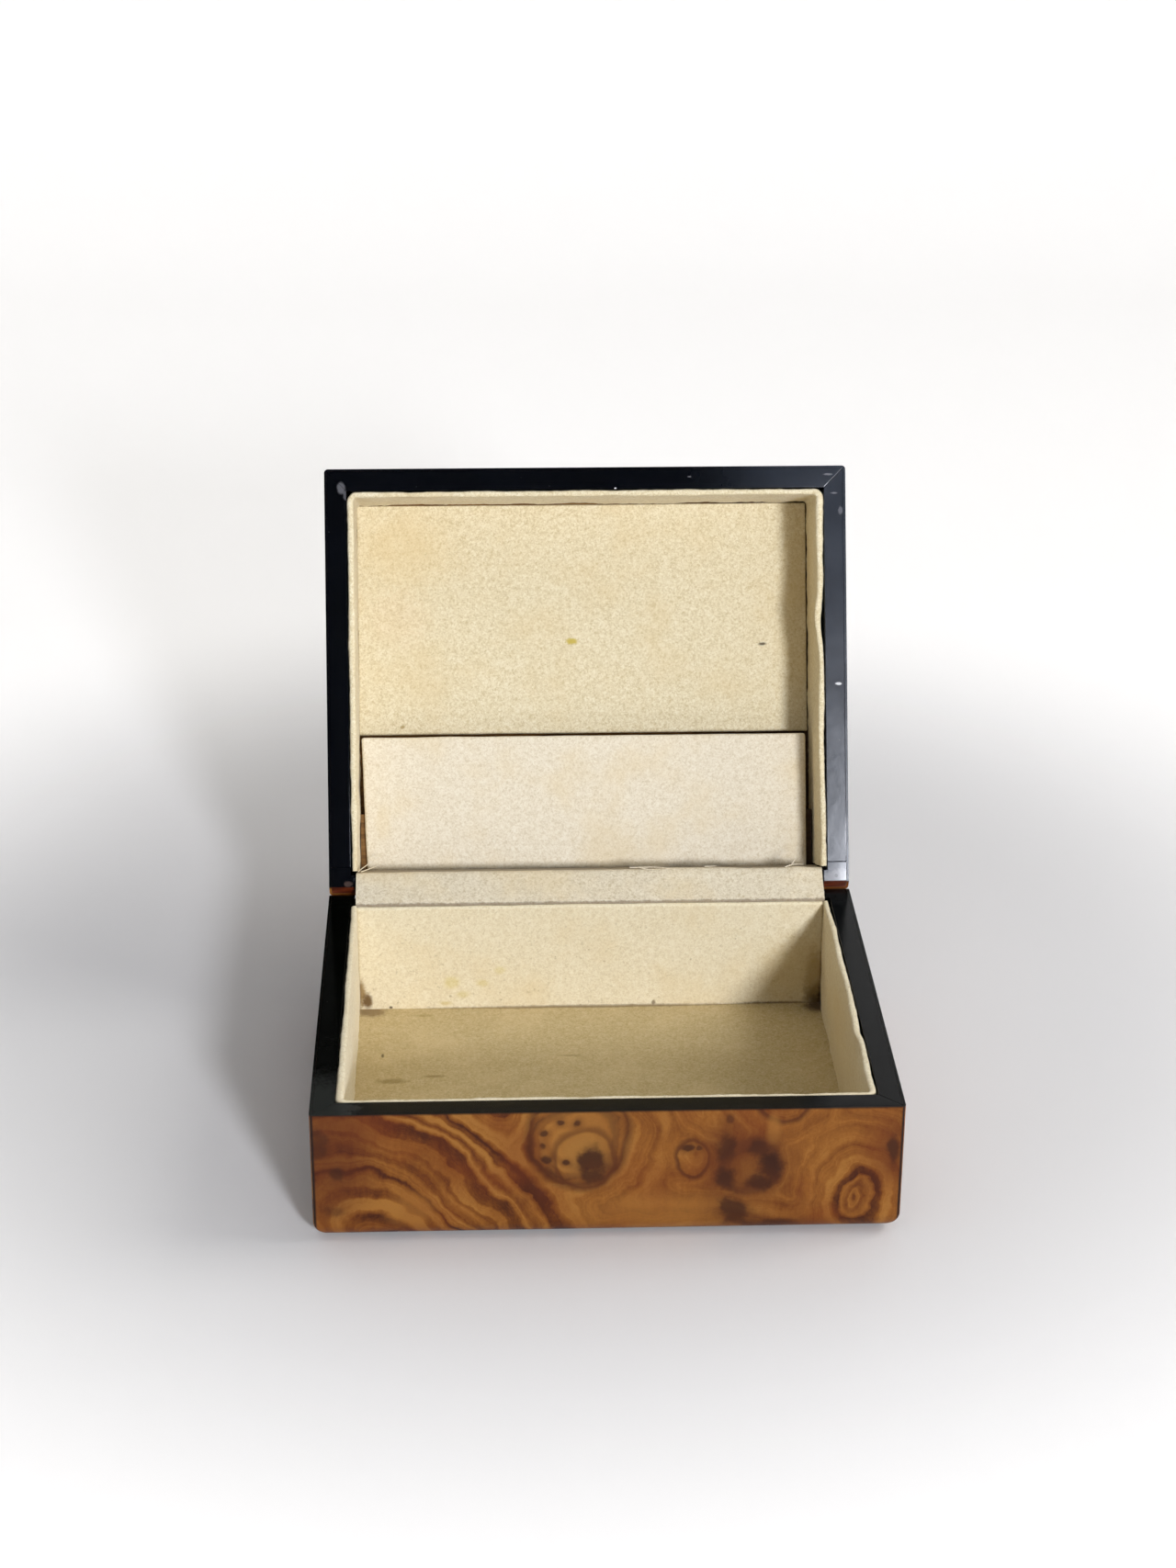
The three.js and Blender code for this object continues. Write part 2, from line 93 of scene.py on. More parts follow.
def close_mesh():
    bpy.ops.object.mode_set(mode="OBJECT")


def shape(piece, kind, **settings):
    """Shapes a piece by one modifier, applied at once."""
    work_on(piece)
    change = piece.modifiers.new(kind.lower(), kind)
    for key, value in settings.items():
        setattr(change, key, value)
    bpy.ops.object.modifier_apply(modifier=change.name)


TENT_SIZE = (9, 4.4, 2.6)
bpy.ops.mesh.primitive_cube_add(size=1, location=(0, -0.7, TENT_SIZE[2] / 2))
sweep = bpy.context.active_object
sweep.name = "paper_sweep"
sweep.scale = TENT_SIZE
settle()
shape(sweep, "BEVEL", width=0.5, segments=16)
bpy.ops.object.shade_smooth()


class Finish:
    """A finish mixed from nodes: each call lays one down and gives back its output."""

    def __init__(self, name):
        self.material = bpy.data.materials.new(name)
        self.material.use_nodes = True
        self.tree = self.material.node_tree
        self.surface = self.tree.nodes["Principled BSDF"]

    def feed(self, socket, value):
        if isinstance(value, bpy.types.NodeSocket):
            self.tree.links.new(value, socket)
        else:
            socket.default_value = value

    def lay(self, kind, inputs=(), output=0, **settings):
        node = self.tree.nodes.new(kind)
        for key, value in settings.items():
            setattr(node, key, value)
        for key, value in dict(inputs).items():
            self.feed(node.inputs[key], value)
        return node.outputs[output]

    def sum(self, a, b, operation="ADD"):
        return self.lay("ShaderNodeMath", {0: a, 1: b}, operation=operation)

    def times(self, a, b):
        return self.sum(a, b, "MULTIPLY")

    def size(self, value):
        return self.lay("ShaderNodeMath", {0: value}, operation="ABSOLUTE")

    def sway(self, noise, amount):
        """A noise's swing to both sides of its middle."""
        return self.times(self.sum(noise, -0.5), amount)

    def vector(self, operation, *values, output=0):
        return self.lay("ShaderNodeVectorMath", dict(enumerate(values)), output, operation=operation)

    def length(self, arm):
        return self.vector("LENGTH", arm, output=1)

    def axis(self, at, index):
        return self.lay("ShaderNodeSeparateXYZ", {0: at}, index)

    def stretch(self, at, *scale):
        return self.lay("ShaderNodeMapping", {"Vector": at, "Scale": scale})

    def here(self):
        """Where the surface is, in metres."""
        return self.lay("ShaderNodeTexCoord", output=3)

    def place(self):
        """Where the surface is, in millimetres."""
        return self.stretch(self.here(), 1000, 1000, 1000)

    def cloud(self, at, scale, detail=4.0, roughness=0.55, distortion=0.0, output=0):
        return self.lay(
            "ShaderNodeTexNoise",
            {"Vector": at, "Scale": scale, "Detail": detail, "Roughness": roughness, "Distortion": distortion},
            output,
        )

    def ramp(self, value, *stops):
        out = self.lay("ShaderNodeValToRGB", {0: value})
        band = out.node.color_ramp
        while len(band.elements) < len(stops):
            band.elements.new(0.5)
        for element, (place, colour) in zip(band.elements, stops):
            element.position = place
            element.color = (*colour, 1)
        return out

    def step(self, value, low, high, to_low=0.0, to_high=1.0, ease="SMOOTHSTEP"):
        inputs = {0: value, 1: low, 2: high, 3: to_low, 4: to_high}
        return self.lay("ShaderNodeMapRange", inputs, interpolation_type=ease)

    def over(self, amount, under, colour):
        """Lays a colour over another by an amount."""
        out = self.lay("ShaderNodeMix", {0: amount}, 2, data_type="RGBA")
        for index, tone in ((6, under), (7, colour)):
            self.feed(out.node.inputs[index], tone if isinstance(tone, bpy.types.NodeSocket) else (*tone, 1))
        return out

    def spot(self, at, centre, reach):
        """1 in the middle of a spot, 0 outside its reach, by its size along each axis."""
        away = self.length(self.vector("DIVIDE", self.vector("SUBTRACT", at, centre), reach))
        return self.step(away, 0.0, 1.0, 1.0, 0.0)

    def relief(self, height, depth, strength=1.0):
        """Raises the surface by a height from 0 to 1 times a depth in millimetres."""
        bump = self.lay("ShaderNodeBump", {"Height": height, "Distance": depth / 1000, "Strength": strength})
        self.feed(self.surface.inputs["Normal"], bump)

    def set(self, **values):
        names = {"base": "Base Color", "rough": "Roughness", "coat": "Coat Weight", "coat_rough": "Coat Roughness",
                 "gloss": "Specular IOR Level", "metal": "Metallic", "sheen": "Sheen Weight",
                 "sheen_rough": "Sheen Roughness", "glow": "Emission Color", "glow_power": "Emission Strength"}
        for key, value in values.items():
            self.feed(self.surface.inputs[names[key]], value)
        return self.material


# Away from the box the paper is seen brighter than its lamps make it, most at the left.
paper = Finish("sweep_paper")
paper_here = paper.here()
paper_away = paper.length(paper.lay("ShaderNodeMapping", {"Vector": paper_here, "Location": (0, -0.10, 0)}))
paper_level = paper.step(paper.axis(paper_here, 0), -0.4, 0.6, 0.47, 0.32, "LINEAR")
sweep.data.materials.append(paper.set(
    base=(0.81, 0.80, 0.785, 1), rough=0.9, glow=(1.0, 0.98, 0.95, 1),
    glow_power=paper.times(paper.lay("ShaderNodeLightPath"), paper.step(paper_away, 0.17, 0.39, 0.0, paper_level)),
))


def hang_lamp(name, place, aim, size, watts, colour):
    bpy.ops.object.light_add(type="AREA", location=place)
    lamp = bpy.context.active_object
    lamp.name = name
    lamp.data.shape = "DISK"
    lamp.data.size = size
    lamp.data.energy = watts
    lamp.data.color = colour
    lamp.rotation_euler = (Vector(aim) - Vector(place)).to_track_quat("-Z", "Y").to_euler()


hang_lamp("low_window_lamp", (0.64, -2.05, 0.80), (0, 0.06, 0.06), 0.3, 38.2, (0.955, 0.985, 1.075))
hang_lamp("right_soft_lamp", (1.75, 0.15, 1.45), (0, 0.0, 0.03), 1.3, 17, (1.0, 0.995, 0.98))

# The walls: black-lacquered wood, mitred at the front corners and butted against the
# hinge wall. Only their rims show, with the veneer's edge as a fine line outside, and
# the bevel by the hinges, which the lacquer leaves red-brown.

# Base and lid are both trays, measured in millimetres from the hinge pins' line, front
# towards -y, with the rim just below it. The lid is turned over and leans back.
MM = 0.001
HALF_WIDTH = 90.0
FRONT, REAR = -146.5, 0.5
RIM = -0.2
WALL, HINGE_WALL, VENEER, GLUE = 7.5, 7.0, 0.8, 0.1
EDGE_ROUND, CORNER_ROUND = 6.5, 1.2
TRAY_HEIGHT = {"base": 44.5, "lid": 39.5}
HINGE_BLOCK = 9.8
REAR_BEVEL = {"base": 0.6, "lid": 3.0}
RECESS_HALF, RECESS_FLOOR = 81.2, -1.8
CUT_IN, CUT_OUT = 20, 9  # how far cutters reach past a wall, inwards and outwards
TOUCH = 0.01  # lengths nearer than this are the same
PINS_Y, PINS_Z = 73.0, 45.2
LID_LEAN = math.radians(66.5)
PINS = Matrix.Translation((0, PINS_Y * MM, PINS_Z * MM))
TRAY_PLACE = {"base": PINS, "lid": PINS @ Matrix.Rotation(LID_LEAN, 4, "X") @ Matrix.Rotation(math.pi, 4, "Z")}


def start_block(name, low, high):
    """A block between two corners of a tray, selected alone."""
    bpy.ops.mesh.primitive_cube_add(size=1, location=[(a + b) / 2 * MM for a, b in zip(low, high)])
    block = bpy.context.active_object
    block.name = name
    block.scale = [(b - a) * MM for a, b in zip(low, high)]
    settle()
    return block


def round_edges(piece, picks, width, segments):
    """Rounds the edges whose two ends together satisfy picks, given in millimetres."""
    at = [v.co / MM for v in piece.data.vertices]
    open_mesh(piece, "EDGE", lambda edge: picks(*(at[i] for i in edge.vertices)))
    bpy.ops.mesh.bevel(offset=width * MM, segments=segments, affect="EDGES", profile=0.5, clamp_overlap=True)
    close_mesh()


def saw(piece, through, facing):
    """Saws off what lies on the far side of a plane and closes the cut."""
    open_mesh(piece, "VERT", lambda vertex: True)
    bpy.ops.mesh.bisect(
        plane_co=[c * MM for c in through], plane_no=facing, use_fill=True, clear_outer=True, threshold=1e-7
    )
    close_mesh()


def cut_away(piece, cutter):
    shape(piece, "BOOLEAN", operation="DIFFERENCE", solver="EXACT", object=cutter)
    bpy.data.objects.remove(cutter, do_unlink=True)


def hinge_recess():
    """What is lowered between the side walls, for the hinge leaves and the folded cloth."""
    low, high = (-RECESS_HALF, REAR - CUT_IN, RECESS_FLOOR), (RECESS_HALF, REAR + CUT_OUT, RIM + CUT_OUT)
    return start_block("recess", low, high)


def soften_edges(piece, width, segments=2):
    shape(piece, "BEVEL", width=width * MM, segments=segments, limit_method="ANGLE", angle_limit=math.radians(40))


def polish(piece, angle=35):
    """Smooth faces with flat ones kept flat."""
    work_on(piece)
    bpy.ops.object.shade_smooth_by_angle(angle=math.radians(angle))
    shape(piece, "WEIGHTED_NORMAL", keep_sharp=True)


def fit(piece, tray, finishes, slot, *stands_for):
    """Moves a finished piece from tray measure to its place and fastens it to its body."""
    work_on(piece)
    piece.matrix_world = TRAY_PLACE[tray]
    settle()
    for finish in finishes:
        piece.data.materials.append(finish)
    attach(piece, tray)
    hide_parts(*stands_for)


def lid_side(side):
    """The lid lies turned over, so its left wall is the tray's right one."""
    return {"left": "right", "right": "left"}.get(side, side)


def in_lid(x, up, deep):
    """A place in the open lid, in millimetres of the standing box: up from the hinges, deep from the rim."""
    rise, lean = math.sin(LID_LEAN), math.cos(LID_LEAN)
    return x, PINS_Y + lean * up + rise * deep, PINS_Z + rise * up - lean * deep


def black_lacquer(name, turn, shade, sheen_and_wear_tint, gloss, dull, wear_and_sheen_spots):
    """Gloss and dullness change across the box between the two places of turn, and to the right of them lies a
    bluish-grey tint, partly fine wear and partly a painted sheen. Each spot has its centre, reach, tint and strength;
    most are wear, and some are painted sheen and painted highlight."""
    lacquer = Finish(name)
    at = lacquer.place()
    right = lacquer.step(lacquer.axis(at, 0), *turn)
    gloss = lacquer.step(right, 0.0, 1.0, *gloss, "LINEAR")
    dull = lacquer.step(right, 0.0, 1.0, *dull, "LINEAR")
    haze = lacquer.cloud(at, 0.06, 5.0, 0.6)
    dust = lacquer.step(lacquer.cloud(at, 1.5, 2.0, 0.5), 0.77, 0.82)
    scratches = lacquer.step(lacquer.cloud(lacquer.stretch(at, 1.0, 0.05, 0.05), 1.6, 6.0, 0.7), 0.70, 0.75)
    cross_scratches = lacquer.step(lacquer.cloud(lacquer.stretch(at, 0.05, 1.0, 1.0), 1.2, 6.0, 0.7), 0.71, 0.76)
    marks = lacquer.times(lacquer.sum(scratches, cross_scratches), 0.4)
    colour = lacquer.over(lacquer.step(haze, 0.35, 0.7), shade, [c * 1.5 + 0.0002 for c in shade])
    # painted sheen: a bluish-grey tint over the right part of the rims, together with fine wear
    colour = lacquer.over(lacquer.times(right, lacquer.step(haze, 0.2, 0.7, 0.7, 1.0)), colour, sheen_and_wear_tint)
    colour = lacquer.over(lacquer.times(marks, lacquer.step(haze, 0.45, 0.75)), colour, (0.10, 0.10, 0.11))
    colour = lacquer.over(lacquer.times(dust, 0.5), colour, (0.30, 0.29, 0.27))
    # worn spots, and in some calls painted sheen and painted highlight spots
    for centre, reach, tint, strength in wear_and_sheen_spots:
        ragged = lacquer.times(lacquer.cloud(at, 0.9, 5.0, 0.65), 0.8)
        rubbed_and_sheen = lacquer.step(lacquer.sum(lacquer.spot(at, centre, reach), ragged), 0.62, 1.05)
        colour = lacquer.over(lacquer.times(rubbed_and_sheen, strength), colour, tint)
    rough = lacquer.sum(lacquer.sum(dull, lacquer.step(haze, 0.3, 0.7, 0.0, 0.02)), lacquer.times(marks, 0.2))
    lacquer.relief(lacquer.sum(lacquer.cloud(at, 0.25, 3.0), lacquer.times(marks, -0.12)), 0.05, 0.35)
    return lacquer.set(base=colour, rough=rough, gloss=gloss)


base_lacquer = black_lacquer(
    "black_lacquer_base", turn=(-82.0, -78.0), shade=(0.0010, 0.0012, 0.0008), sheen_and_wear_tint=(0.0014, 0.0016, 0.0012),
    gloss=(0.006, 0.13), dull=(0.10, 0.16), wear_and_sheen_spots=[
        ((-79, -69, 45), (9, 3, 3), (0.10, 0.09, 0.07), 0.2),
        # painted sheen: the left rim and the front rim's left end are painted greyer towards the front-left corner
        ((-88, -80, 45), (22, 52, 8), (0.026, 0.028, 0.025), 0.85),
    ],
)
lid_lacquer = black_lacquer(
    "black_lacquer_lid", turn=(30.0, 84.0), shade=(0.0005, 0.0009, 0.0020), sheen_and_wear_tint=(0.014, 0.020, 0.032),
    gloss=(0.08, 0.58), dull=(0.06, 0.13), wear_and_sheen_spots=[
        (in_lid(-84.2, 140.0, 0), (2.4, 3.6, 3.6), (0.13, 0.13, 0.14), 0.8),
        (in_lid(-82.6, 137.5, 0), (1.6, 3.0, 3.0), (0.11, 0.11, 0.12), 0.7),
        (in_lid(-83.5, 3.5, 0), (2.6, 1.8, 1.8), (0.09, 0.06, 0.05), 0.6),
        (in_lid(87.0, 71, 0), (2.2, 0.9, 0.9), (0.75, 0.75, 0.75), 0.9),
        (in_lid(10.3, 139.1, 0), (0.9, 0.7, 0.7), (0.85, 0.85, 0.85), 1.0),
        (in_lid(36, 143, 0), (1.6, 0.5, 0.5), (0.30, 0.30, 0.31), 0.8),
        (in_lid(84, 143.5, 0), (3.2, 0.7, 0.7), (0.22, 0.22, 0.24), 0.7),
        (in_lid(86, 137, 0), (2.6, 0.6, 0.6), (0.24, 0.24, 0.26), 0.7),
        (in_lid(88.2, 131, 0), (1.4, 2.4, 2.4), (0.18, 0.18, 0.20), 0.6),
    ],
)
worn_and_sheen_lacquer = black_lacquer(
    "worn_and_sheen_black_lacquer", turn=(77.0, 81.0), shade=(0.0005, 0.0009, 0.0020), sheen_and_wear_tint=(0.020, 0.026, 0.038),
    gloss=(0.08, 0.50), dull=(0.06, 0.15), wear_and_sheen_spots=[
        # the lower end of the right rim is rubbed grey, partly wear and partly a painted highlight
        (in_lid(86.5, 3.0, 0), (9, 7, 7), (0.10, 0.10, 0.105), 0.9),
        (in_lid(85.6, 4.4, 0), (1.1, 1.1, 1.1), (0.02, 0.02, 0.02), 1.0),
        (in_lid(-83.5, 3.5, 0), (2.6, 1.8, 1.8), (0.09, 0.06, 0.05), 0.7),
    ],
)

bevel_stain = Finish("red_brown_bevel")
bevel_at = bevel_stain.place()
bevel_stain.relief(bevel_stain.cloud(bevel_at, 0.4), 0.05, 0.4)
red_brown_bevel = bevel_stain.set(
    base=bevel_stain.ramp(
        bevel_stain.cloud(bevel_stain.stretch(bevel_at, 0.2, 1, 1), 0.8, 6.0),
        (0.35, (0.055, 0.008, 0.003)), (0.7, (0.20, 0.035, 0.008)),
    ),
    rough=0.3, coat=0.5, coat_rough=0.1,
)


def make_wall(tray, side):
    low, skin = RIM - TRAY_HEIGHT[tray] + VENEER + GLUE, HALF_WIDTH - VENEER
    turned = side if tray == "base" else lid_side(side)
    name = f"{tray}_{side}_rail"
    if turned == "front":
        wall = start_block(name, (-skin, FRONT + VENEER, low), (skin, FRONT + WALL, RIM))
    elif turned == "hinge":
        wall = start_block(name, (-skin, REAR - HINGE_BLOCK, low), (skin, REAR - VENEER, RIM))
    else:
        wall = start_block(name, (HALF_WIDTH - WALL, FRONT + VENEER, low), (skin, REAR - HINGE_BLOCK, RIM))

    def outer_low(a, b):
        """The wall's lower edges that the rounded veneer covers."""
        if max(a.z, b.z) > low + TOUCH:
            return False
        if turned == "front":
            return max(a.y, b.y) < FRONT + VENEER + TOUCH
        on_rear = min(a.y, b.y) > REAR - VENEER - TOUCH
        on_end = min(a.x, b.x) > skin - TOUCH or max(a.x, b.x) < TOUCH - skin
        return on_end or (turned == "hinge" and on_rear)

    round_edges(wall, outer_low, EDGE_ROUND - VENEER - GLUE, 6)
    if turned == "front":
        saw(wall, (HALF_WIDTH, FRONT, 0), (1, 1, 0))
        saw(wall, (-HALF_WIDTH, FRONT, 0), (-1, 1, 0))
    elif turned == "hinge":
        cut_away(wall, hinge_recess())
        inner = HALF_WIDTH - WALL
        cut_away(wall, start_block(
            "clearance", (-inner, REAR - CUT_IN, low - CUT_OUT), (inner, REAR - HINGE_WALL, RIM + CUT_OUT)
        ))
        saw(wall, (0, REAR - REAR_BEVEL[tray], RIM), (0, 1, 1))
    else:
        saw(wall, (HALF_WIDTH, FRONT, 0), (-1, -1, 0))
    soften_edges(wall, 0.22)
    polish(wall)
    if turned == "left":
        wall.scale.x = -1
        settle()
        open_mesh(wall, "FACE", lambda face: True)
        bpy.ops.mesh.normals_make_consistent(inside=False)
        close_mesh()
    stained = [f.normal.y > 0.5 and f.normal.z > 0.5 for f in wall.data.polygons]
    lacquer = base_lacquer if tray == "base" else worn_and_sheen_lacquer if side == "hinge" else lid_lacquer
    fit(wall, tray, [lacquer, red_brown_bevel], "black_lacquer", f"{tray}_{side}_wall")
    for face, is_bevel in zip(wall.data.polygons, stained):
        face.material_index = int(is_bevel)


for tray in ("base", "lid"):
    for side in ("front", "left", "right", "hinge"):
        make_wall(tray, side)

# The veneer: burl sheets wrapped round the trays' rounded edges, mitred at the
# corners and polished under clear lacquer. Each face has its own piece of figure,
# with growth lines that sweep round the knots.
BURL_LIGHT, BURL_MID, BURL_DARK = (0.235, 0.084, 0.013), (0.150, 0.045, 0.0065), (0.050, 0.0115, 0.0032)
BURL_EYE, BURL_GOLD = (0.030, 0.0085, 0.0038), (0.31, 0.130, 0.024)


def burl_veneer(name, seed, knots, eyes, patches=(), ends=None, bands=(), faint=None):
    """Places are in millimetres along the sheet and down from its rim. Growth lines run round the nearest knot, each
    (along, down, start, stretch, turn). Eyes are dark spots, each (along, down, wide, tall, depth). Patches are stained
    rings or spots, each (along, down, wide, tall, inner edge, tint, depth). Bands are broad lines, each (growth, half
    width, depth). Ends, where given, are how far along the sheet its two ends lie and how far down its bottom lies;
    near them the veneer is painted dark, a painted shade of the rounded corners and of the contact with the floor.
    Faint is where along the sheet the figure weakens, and to what."""
    burl = Finish(name)
    flat = burl.lay("ShaderNodeUVMap", uv_map="veneer")
    at = burl.lay("ShaderNodeMapping", {"Vector": flat, "Location": (0, 0, seed), "Scale": (1000, 1000, 1)})
    bent = at
    for scale, detail, roughness, reach in ((0.055, 2.0, 0.5, 11), (0.30, 3.0, 0.55, 2.2)):
        drift = burl.vector("SUBTRACT", burl.cloud(at, scale, detail, roughness, output=1), (0.5, 0.5, 0.5))
        bent = burl.vector("MULTIPLY_ADD", drift, (reach, reach, 0), bent)
    calm = burl.lay("ShaderNodeMix", {0: 0.45, 4: at, 5: bent}, 1, data_type="VECTOR")
    growth = None
    for along, down, start, stretch, turn in knots:
        arm = burl.vector("SUBTRACT", bent, (along, down, seed))
        if turn:
            turning = {"Vector": arm, "Angle": -math.radians(turn)}
            arm = burl.lay("ShaderNodeVectorRotate", turning, rotation_type="Z_AXIS")
        count = burl.sum(burl.length(burl.vector("MULTIPLY", arm, (1 / stretch, 1, 0))), start)
        growth = burl.lay("ShaderNodeMath", {0: growth, 1: count, 2: 7.0}, operation="SMOOTH_MIN") if growth else count
    aged = burl.sum(growth, seed * 97.0)
    rings, hair = (
        burl.lay("ShaderNodeTexNoise", {"W": aged, "Scale": scale, "Detail": detail, "Roughness": roughness},
                 noise_dimensions="1D")
        for scale, detail, roughness in ((0.24, 1.6, 0.5), (1.7, 2.0, 0.6))
    )
    silk = burl.cloud(burl.stretch(bent, 1.0, 0.22, 1.0), 0.8, 4.0, 0.65)
    strong = burl.step(burl.cloud(at, 0.045, 2.0, 0.5), 0.34, 0.62, 0.45, 1.0)
    across, down_sheet = burl.axis(flat, 0), burl.axis(flat, 1)
    if faint:
        strong = burl.times(strong, burl.step(across, faint[0] * MM, faint[1] * MM, 1.0, faint[2]))
    tone = burl.sum(burl.sum(burl.sway(rings, strong), 0.52), burl.sway(hair, 0.15))
    for centre, half, depth in bands:
        tone = burl.sum(tone, burl.step(burl.size(burl.sum(growth, -centre)), 0.0, half, -depth, 0.0))
    for noise, amount in ((silk, 0.20), (burl.cloud(at, 0.9, 4.0, 0.7), 0.16), (burl.cloud(at, 0.05, 3.0), 0.40)):
        tone = burl.sum(tone, burl.sway(noise, amount))
    colour = burl.ramp(tone, (0.27, BURL_DARK), (0.42, BURL_MID), (0.56, BURL_LIGHT), (0.70, BURL_GOLD))
    red = burl.step(burl.cloud(at, 0.035, 2.0), 0.45, 0.68)
    colour = burl.over(burl.times(red, 0.4), colour, (0.155, 0.028, 0.0045))
    for along, down, wide, tall, inner, tint, depth in patches:
        away = burl.length(burl.vector("DIVIDE", burl.vector("SUBTRACT", calm, (along, down, seed)), (wide, tall, 1)))
        outside = burl.step(away, 0.88 if inner else 0.3, 1.12, 1.0, 0.0)
        colour = burl.over(burl.times(burl.times(burl.step(away, inner - 0.12, inner), outside), depth), colour, tint)
    for along, down, wide, tall, depth in eyes:
        halo = burl.spot(calm, (along, down, seed), (wide * 1.9, tall * 1.9, 1))
        colour = burl.over(burl.times(halo, depth * 0.6), colour, (0.085, 0.021, 0.005))
        uneven = burl.times(burl.sway(burl.cloud(at, 0.24, 4.0), 1.8), halo)
        ragged = burl.step(burl.sum(burl.spot(calm, (along, down, seed), (wide, tall, 1)), uneven), 0.0, 0.75)
        colour = burl.over(burl.times(ragged, depth), colour, BURL_EYE)
    pores = burl.step(burl.cloud(burl.stretch(at, 0.5, 1.6, 1), 2.6, 3.0, 0.6), 0.60, 0.72)
    colour = burl.over(burl.times(pores, 0.30), colour, BURL_DARK)
    edge = burl.step(down_sheet, 0.0, 0.8 * MM, 0.75, 0.0)
    # Painted shade: the veneer is darkened near the sheet's two ends, at the rounded corners, and low on its rounded
    # bottom edge, where it meets the floor. The fine dark line at the rim is the veneer's own edge.
    if ends:
        corner_shade = burl.step(burl.size(across), (ends[0] - 1.5) * MM, (ends[0] - 0.7) * MM)
        foot_shade = burl.step(down_sheet, (ends[1] - 3.4) * MM, (ends[1] - 1.2) * MM)
        edge = burl.sum(edge, burl.sum(corner_shade, foot_shade, "MAXIMUM"), "MAXIMUM")
    colour = burl.over(edge, colour, (0.012, 0.006, 0.005))
    burl.relief(burl.sum(burl.cloud(at, 0.12, 2.0), burl.times(pores, -0.15)), 0.06, 0.3)
    return burl.set(base=colour, rough=0.42, gloss=0.12, coat=0.12, coat_rough=0.15)


def loose_figure(seed, half_length, depth, knot_count=4):
    """Sweeping growth with a few knots and their eyes, for a face that the photograph doesn't show."""
    pick = random.Random(seed)
    hand = pick.choice((-1, 1))
    knots = [(hand * half_length * pick.uniform(0.6, 0.9), depth + 6, 0, 1.7, pick.uniform(10, 40)),
             (-hand * half_length * pick.uniform(0.7, 1.0), -0.2 * depth, 16, 1.9, pick.uniform(-35, -5))]
    eyes = []
    for i in range(knot_count):
        along = half_length * (2 * (i + pick.uniform(0.15, 0.85)) / knot_count - 1)
        down, reach = depth * pick.uniform(0.15, 0.85), pick.uniform(5, 12)
        near = min(start + math.hypot((along - a) / stretch, down - d) for a, d, start, stretch, _ in knots[:2])
        knots.append((along, down, near - reach, pick.uniform(0.8, 1.4), pick.uniform(-40, 40)))
        eyes.append((along, down, pick.uniform(2.0, 4.6), pick.uniform(1.8, 4.0), pick.uniform(0.5, 0.85)))
        for _ in range(pick.randint(2, 5)):
            turn, out = pick.uniform(0, math.tau), pick.uniform(5, 9)
            wide, tall = pick.uniform(1.0, 2.0), pick.uniform(1.0, 2.0)
            eyes.append((along + out * math.cos(turn), down + out * math.sin(turn), wide, tall, 0.7))
    return knots, eyes


FRONT_KNOTS = [(-68, 46, 0, 1.6, 45), (-9.5, 11, 34, 1.0, 0), (76, 33, 36.5, 0.62, 0), (25.6, 16, 58, 0.9, 0),
               (46, 19, 57, 1.0, 0), (53, -4, 50, 1.0, 0), (-92, 20, 20, 0.7, 0), (14, 70, 24, 2.6, 0)]
FRONT_BANDS = [(19.5, 1.8, 0.20), (25.5, 1.6, 0.10), (35, 3.4, 0.19), (40, 1.2, 0.08), (45.5, 3.4, 0.26),
               (15, 5, -0.07), (51, 3.5, -0.12)]
FRONT_EYES = [
    (-5.3, 17.2, 7.4, 7.2, 0.9), (-4.2, 22.5, 5.4, 5.0, 0.7), (-12.6, 17.4, 1.7, 1.7, 0.8), (-19, 7.6, 1.9, 2.1, 0.75),
    (-14.2, 3.4, 1.8, 1.6, 0.75), (-9.4, 4.0, 1.7, 1.7, 0.75), (-19.5, 12, 1.9, 2.1, 0.75),
    (-18.6, 16.6, 2.5, 2.0, 0.8), (23.8, 13.2, 2.5, 1.9, 0.8), (27.4, 13.4, 1.5, 1.6, 0.6),
    (35.4, 14.0, 4.6, 8.0, 0.65), (36.5, 3.6, 2.0, 2.4, 0.5), (45.5, 14.0, 5.6, 4.2, 0.75),
    (49.4, 19.5, 6.4, 7.4, 0.9), (46.0, 25.5, 6.0, 4.4, 0.75), (35.4, 24, 6.0, 6.0, 0.8), (38.4, 36.5, 8.6, 9.6, 0.8),
    (50, 41, 14.0, 3.4, 0.6), (86.5, 15, 3.2, 8.0, 0.75), (-82, 21, 3.4, 3.4, 0.6), (-87, 10, 4.0, 8.0, 0.5),
    (-84, 34, 6.0, 3.0, 0.4), (-66, 44, 5.0, 3.0, 0.6),
]
FRONT_PATCHES = [
    (-9.0, 9.0, 15.6, 17.5, 0, BURL_GOLD, 0.75), (-9.0, 9.0, 15.8, 18.4, 0.95, BURL_DARK, 0.85),
    (-7.0, 17, 9.8, 11.5, 0.92, (0.070, 0.018, 0.0045), 0.75), (-7.0, 15.6, 9.0, 9.6, 0, (0.40, 0.185, 0.036), 0.9),
    (25.6, 17, 5.2, 7.0, 0.86, BURL_DARK, 0.65), (53, -3, 9.0, 9.0, 0.86, BURL_DARK, 0.7),
    (16, 36, 34, 9, 0, BURL_GOLD, 0.45), (-60, 34, 10, 8, 0, BURL_GOLD, 0.5), (50, 8, 3, 8, 0, BURL_GOLD, 0.6),
    (43, 20, 10.0, 9.5, 0.62, (0.045, 0.012, 0.005), 0.6), (41, 25, 2.8, 2.6, 0, BURL_LIGHT, 0.6),
    (17, 4, 2.0, 7.0, 0, BURL_GOLD, 0.5), (-83, 14, 17, 26, 0, (0.085, 0.016, 0.004), 0.6),
    (84, 14, 9, 14, 0, (0.12, 0.022, 0.004), 0.5), (36, 14, 13, 11, 0, (0.11, 0.024, 0.005), 0.45),
]


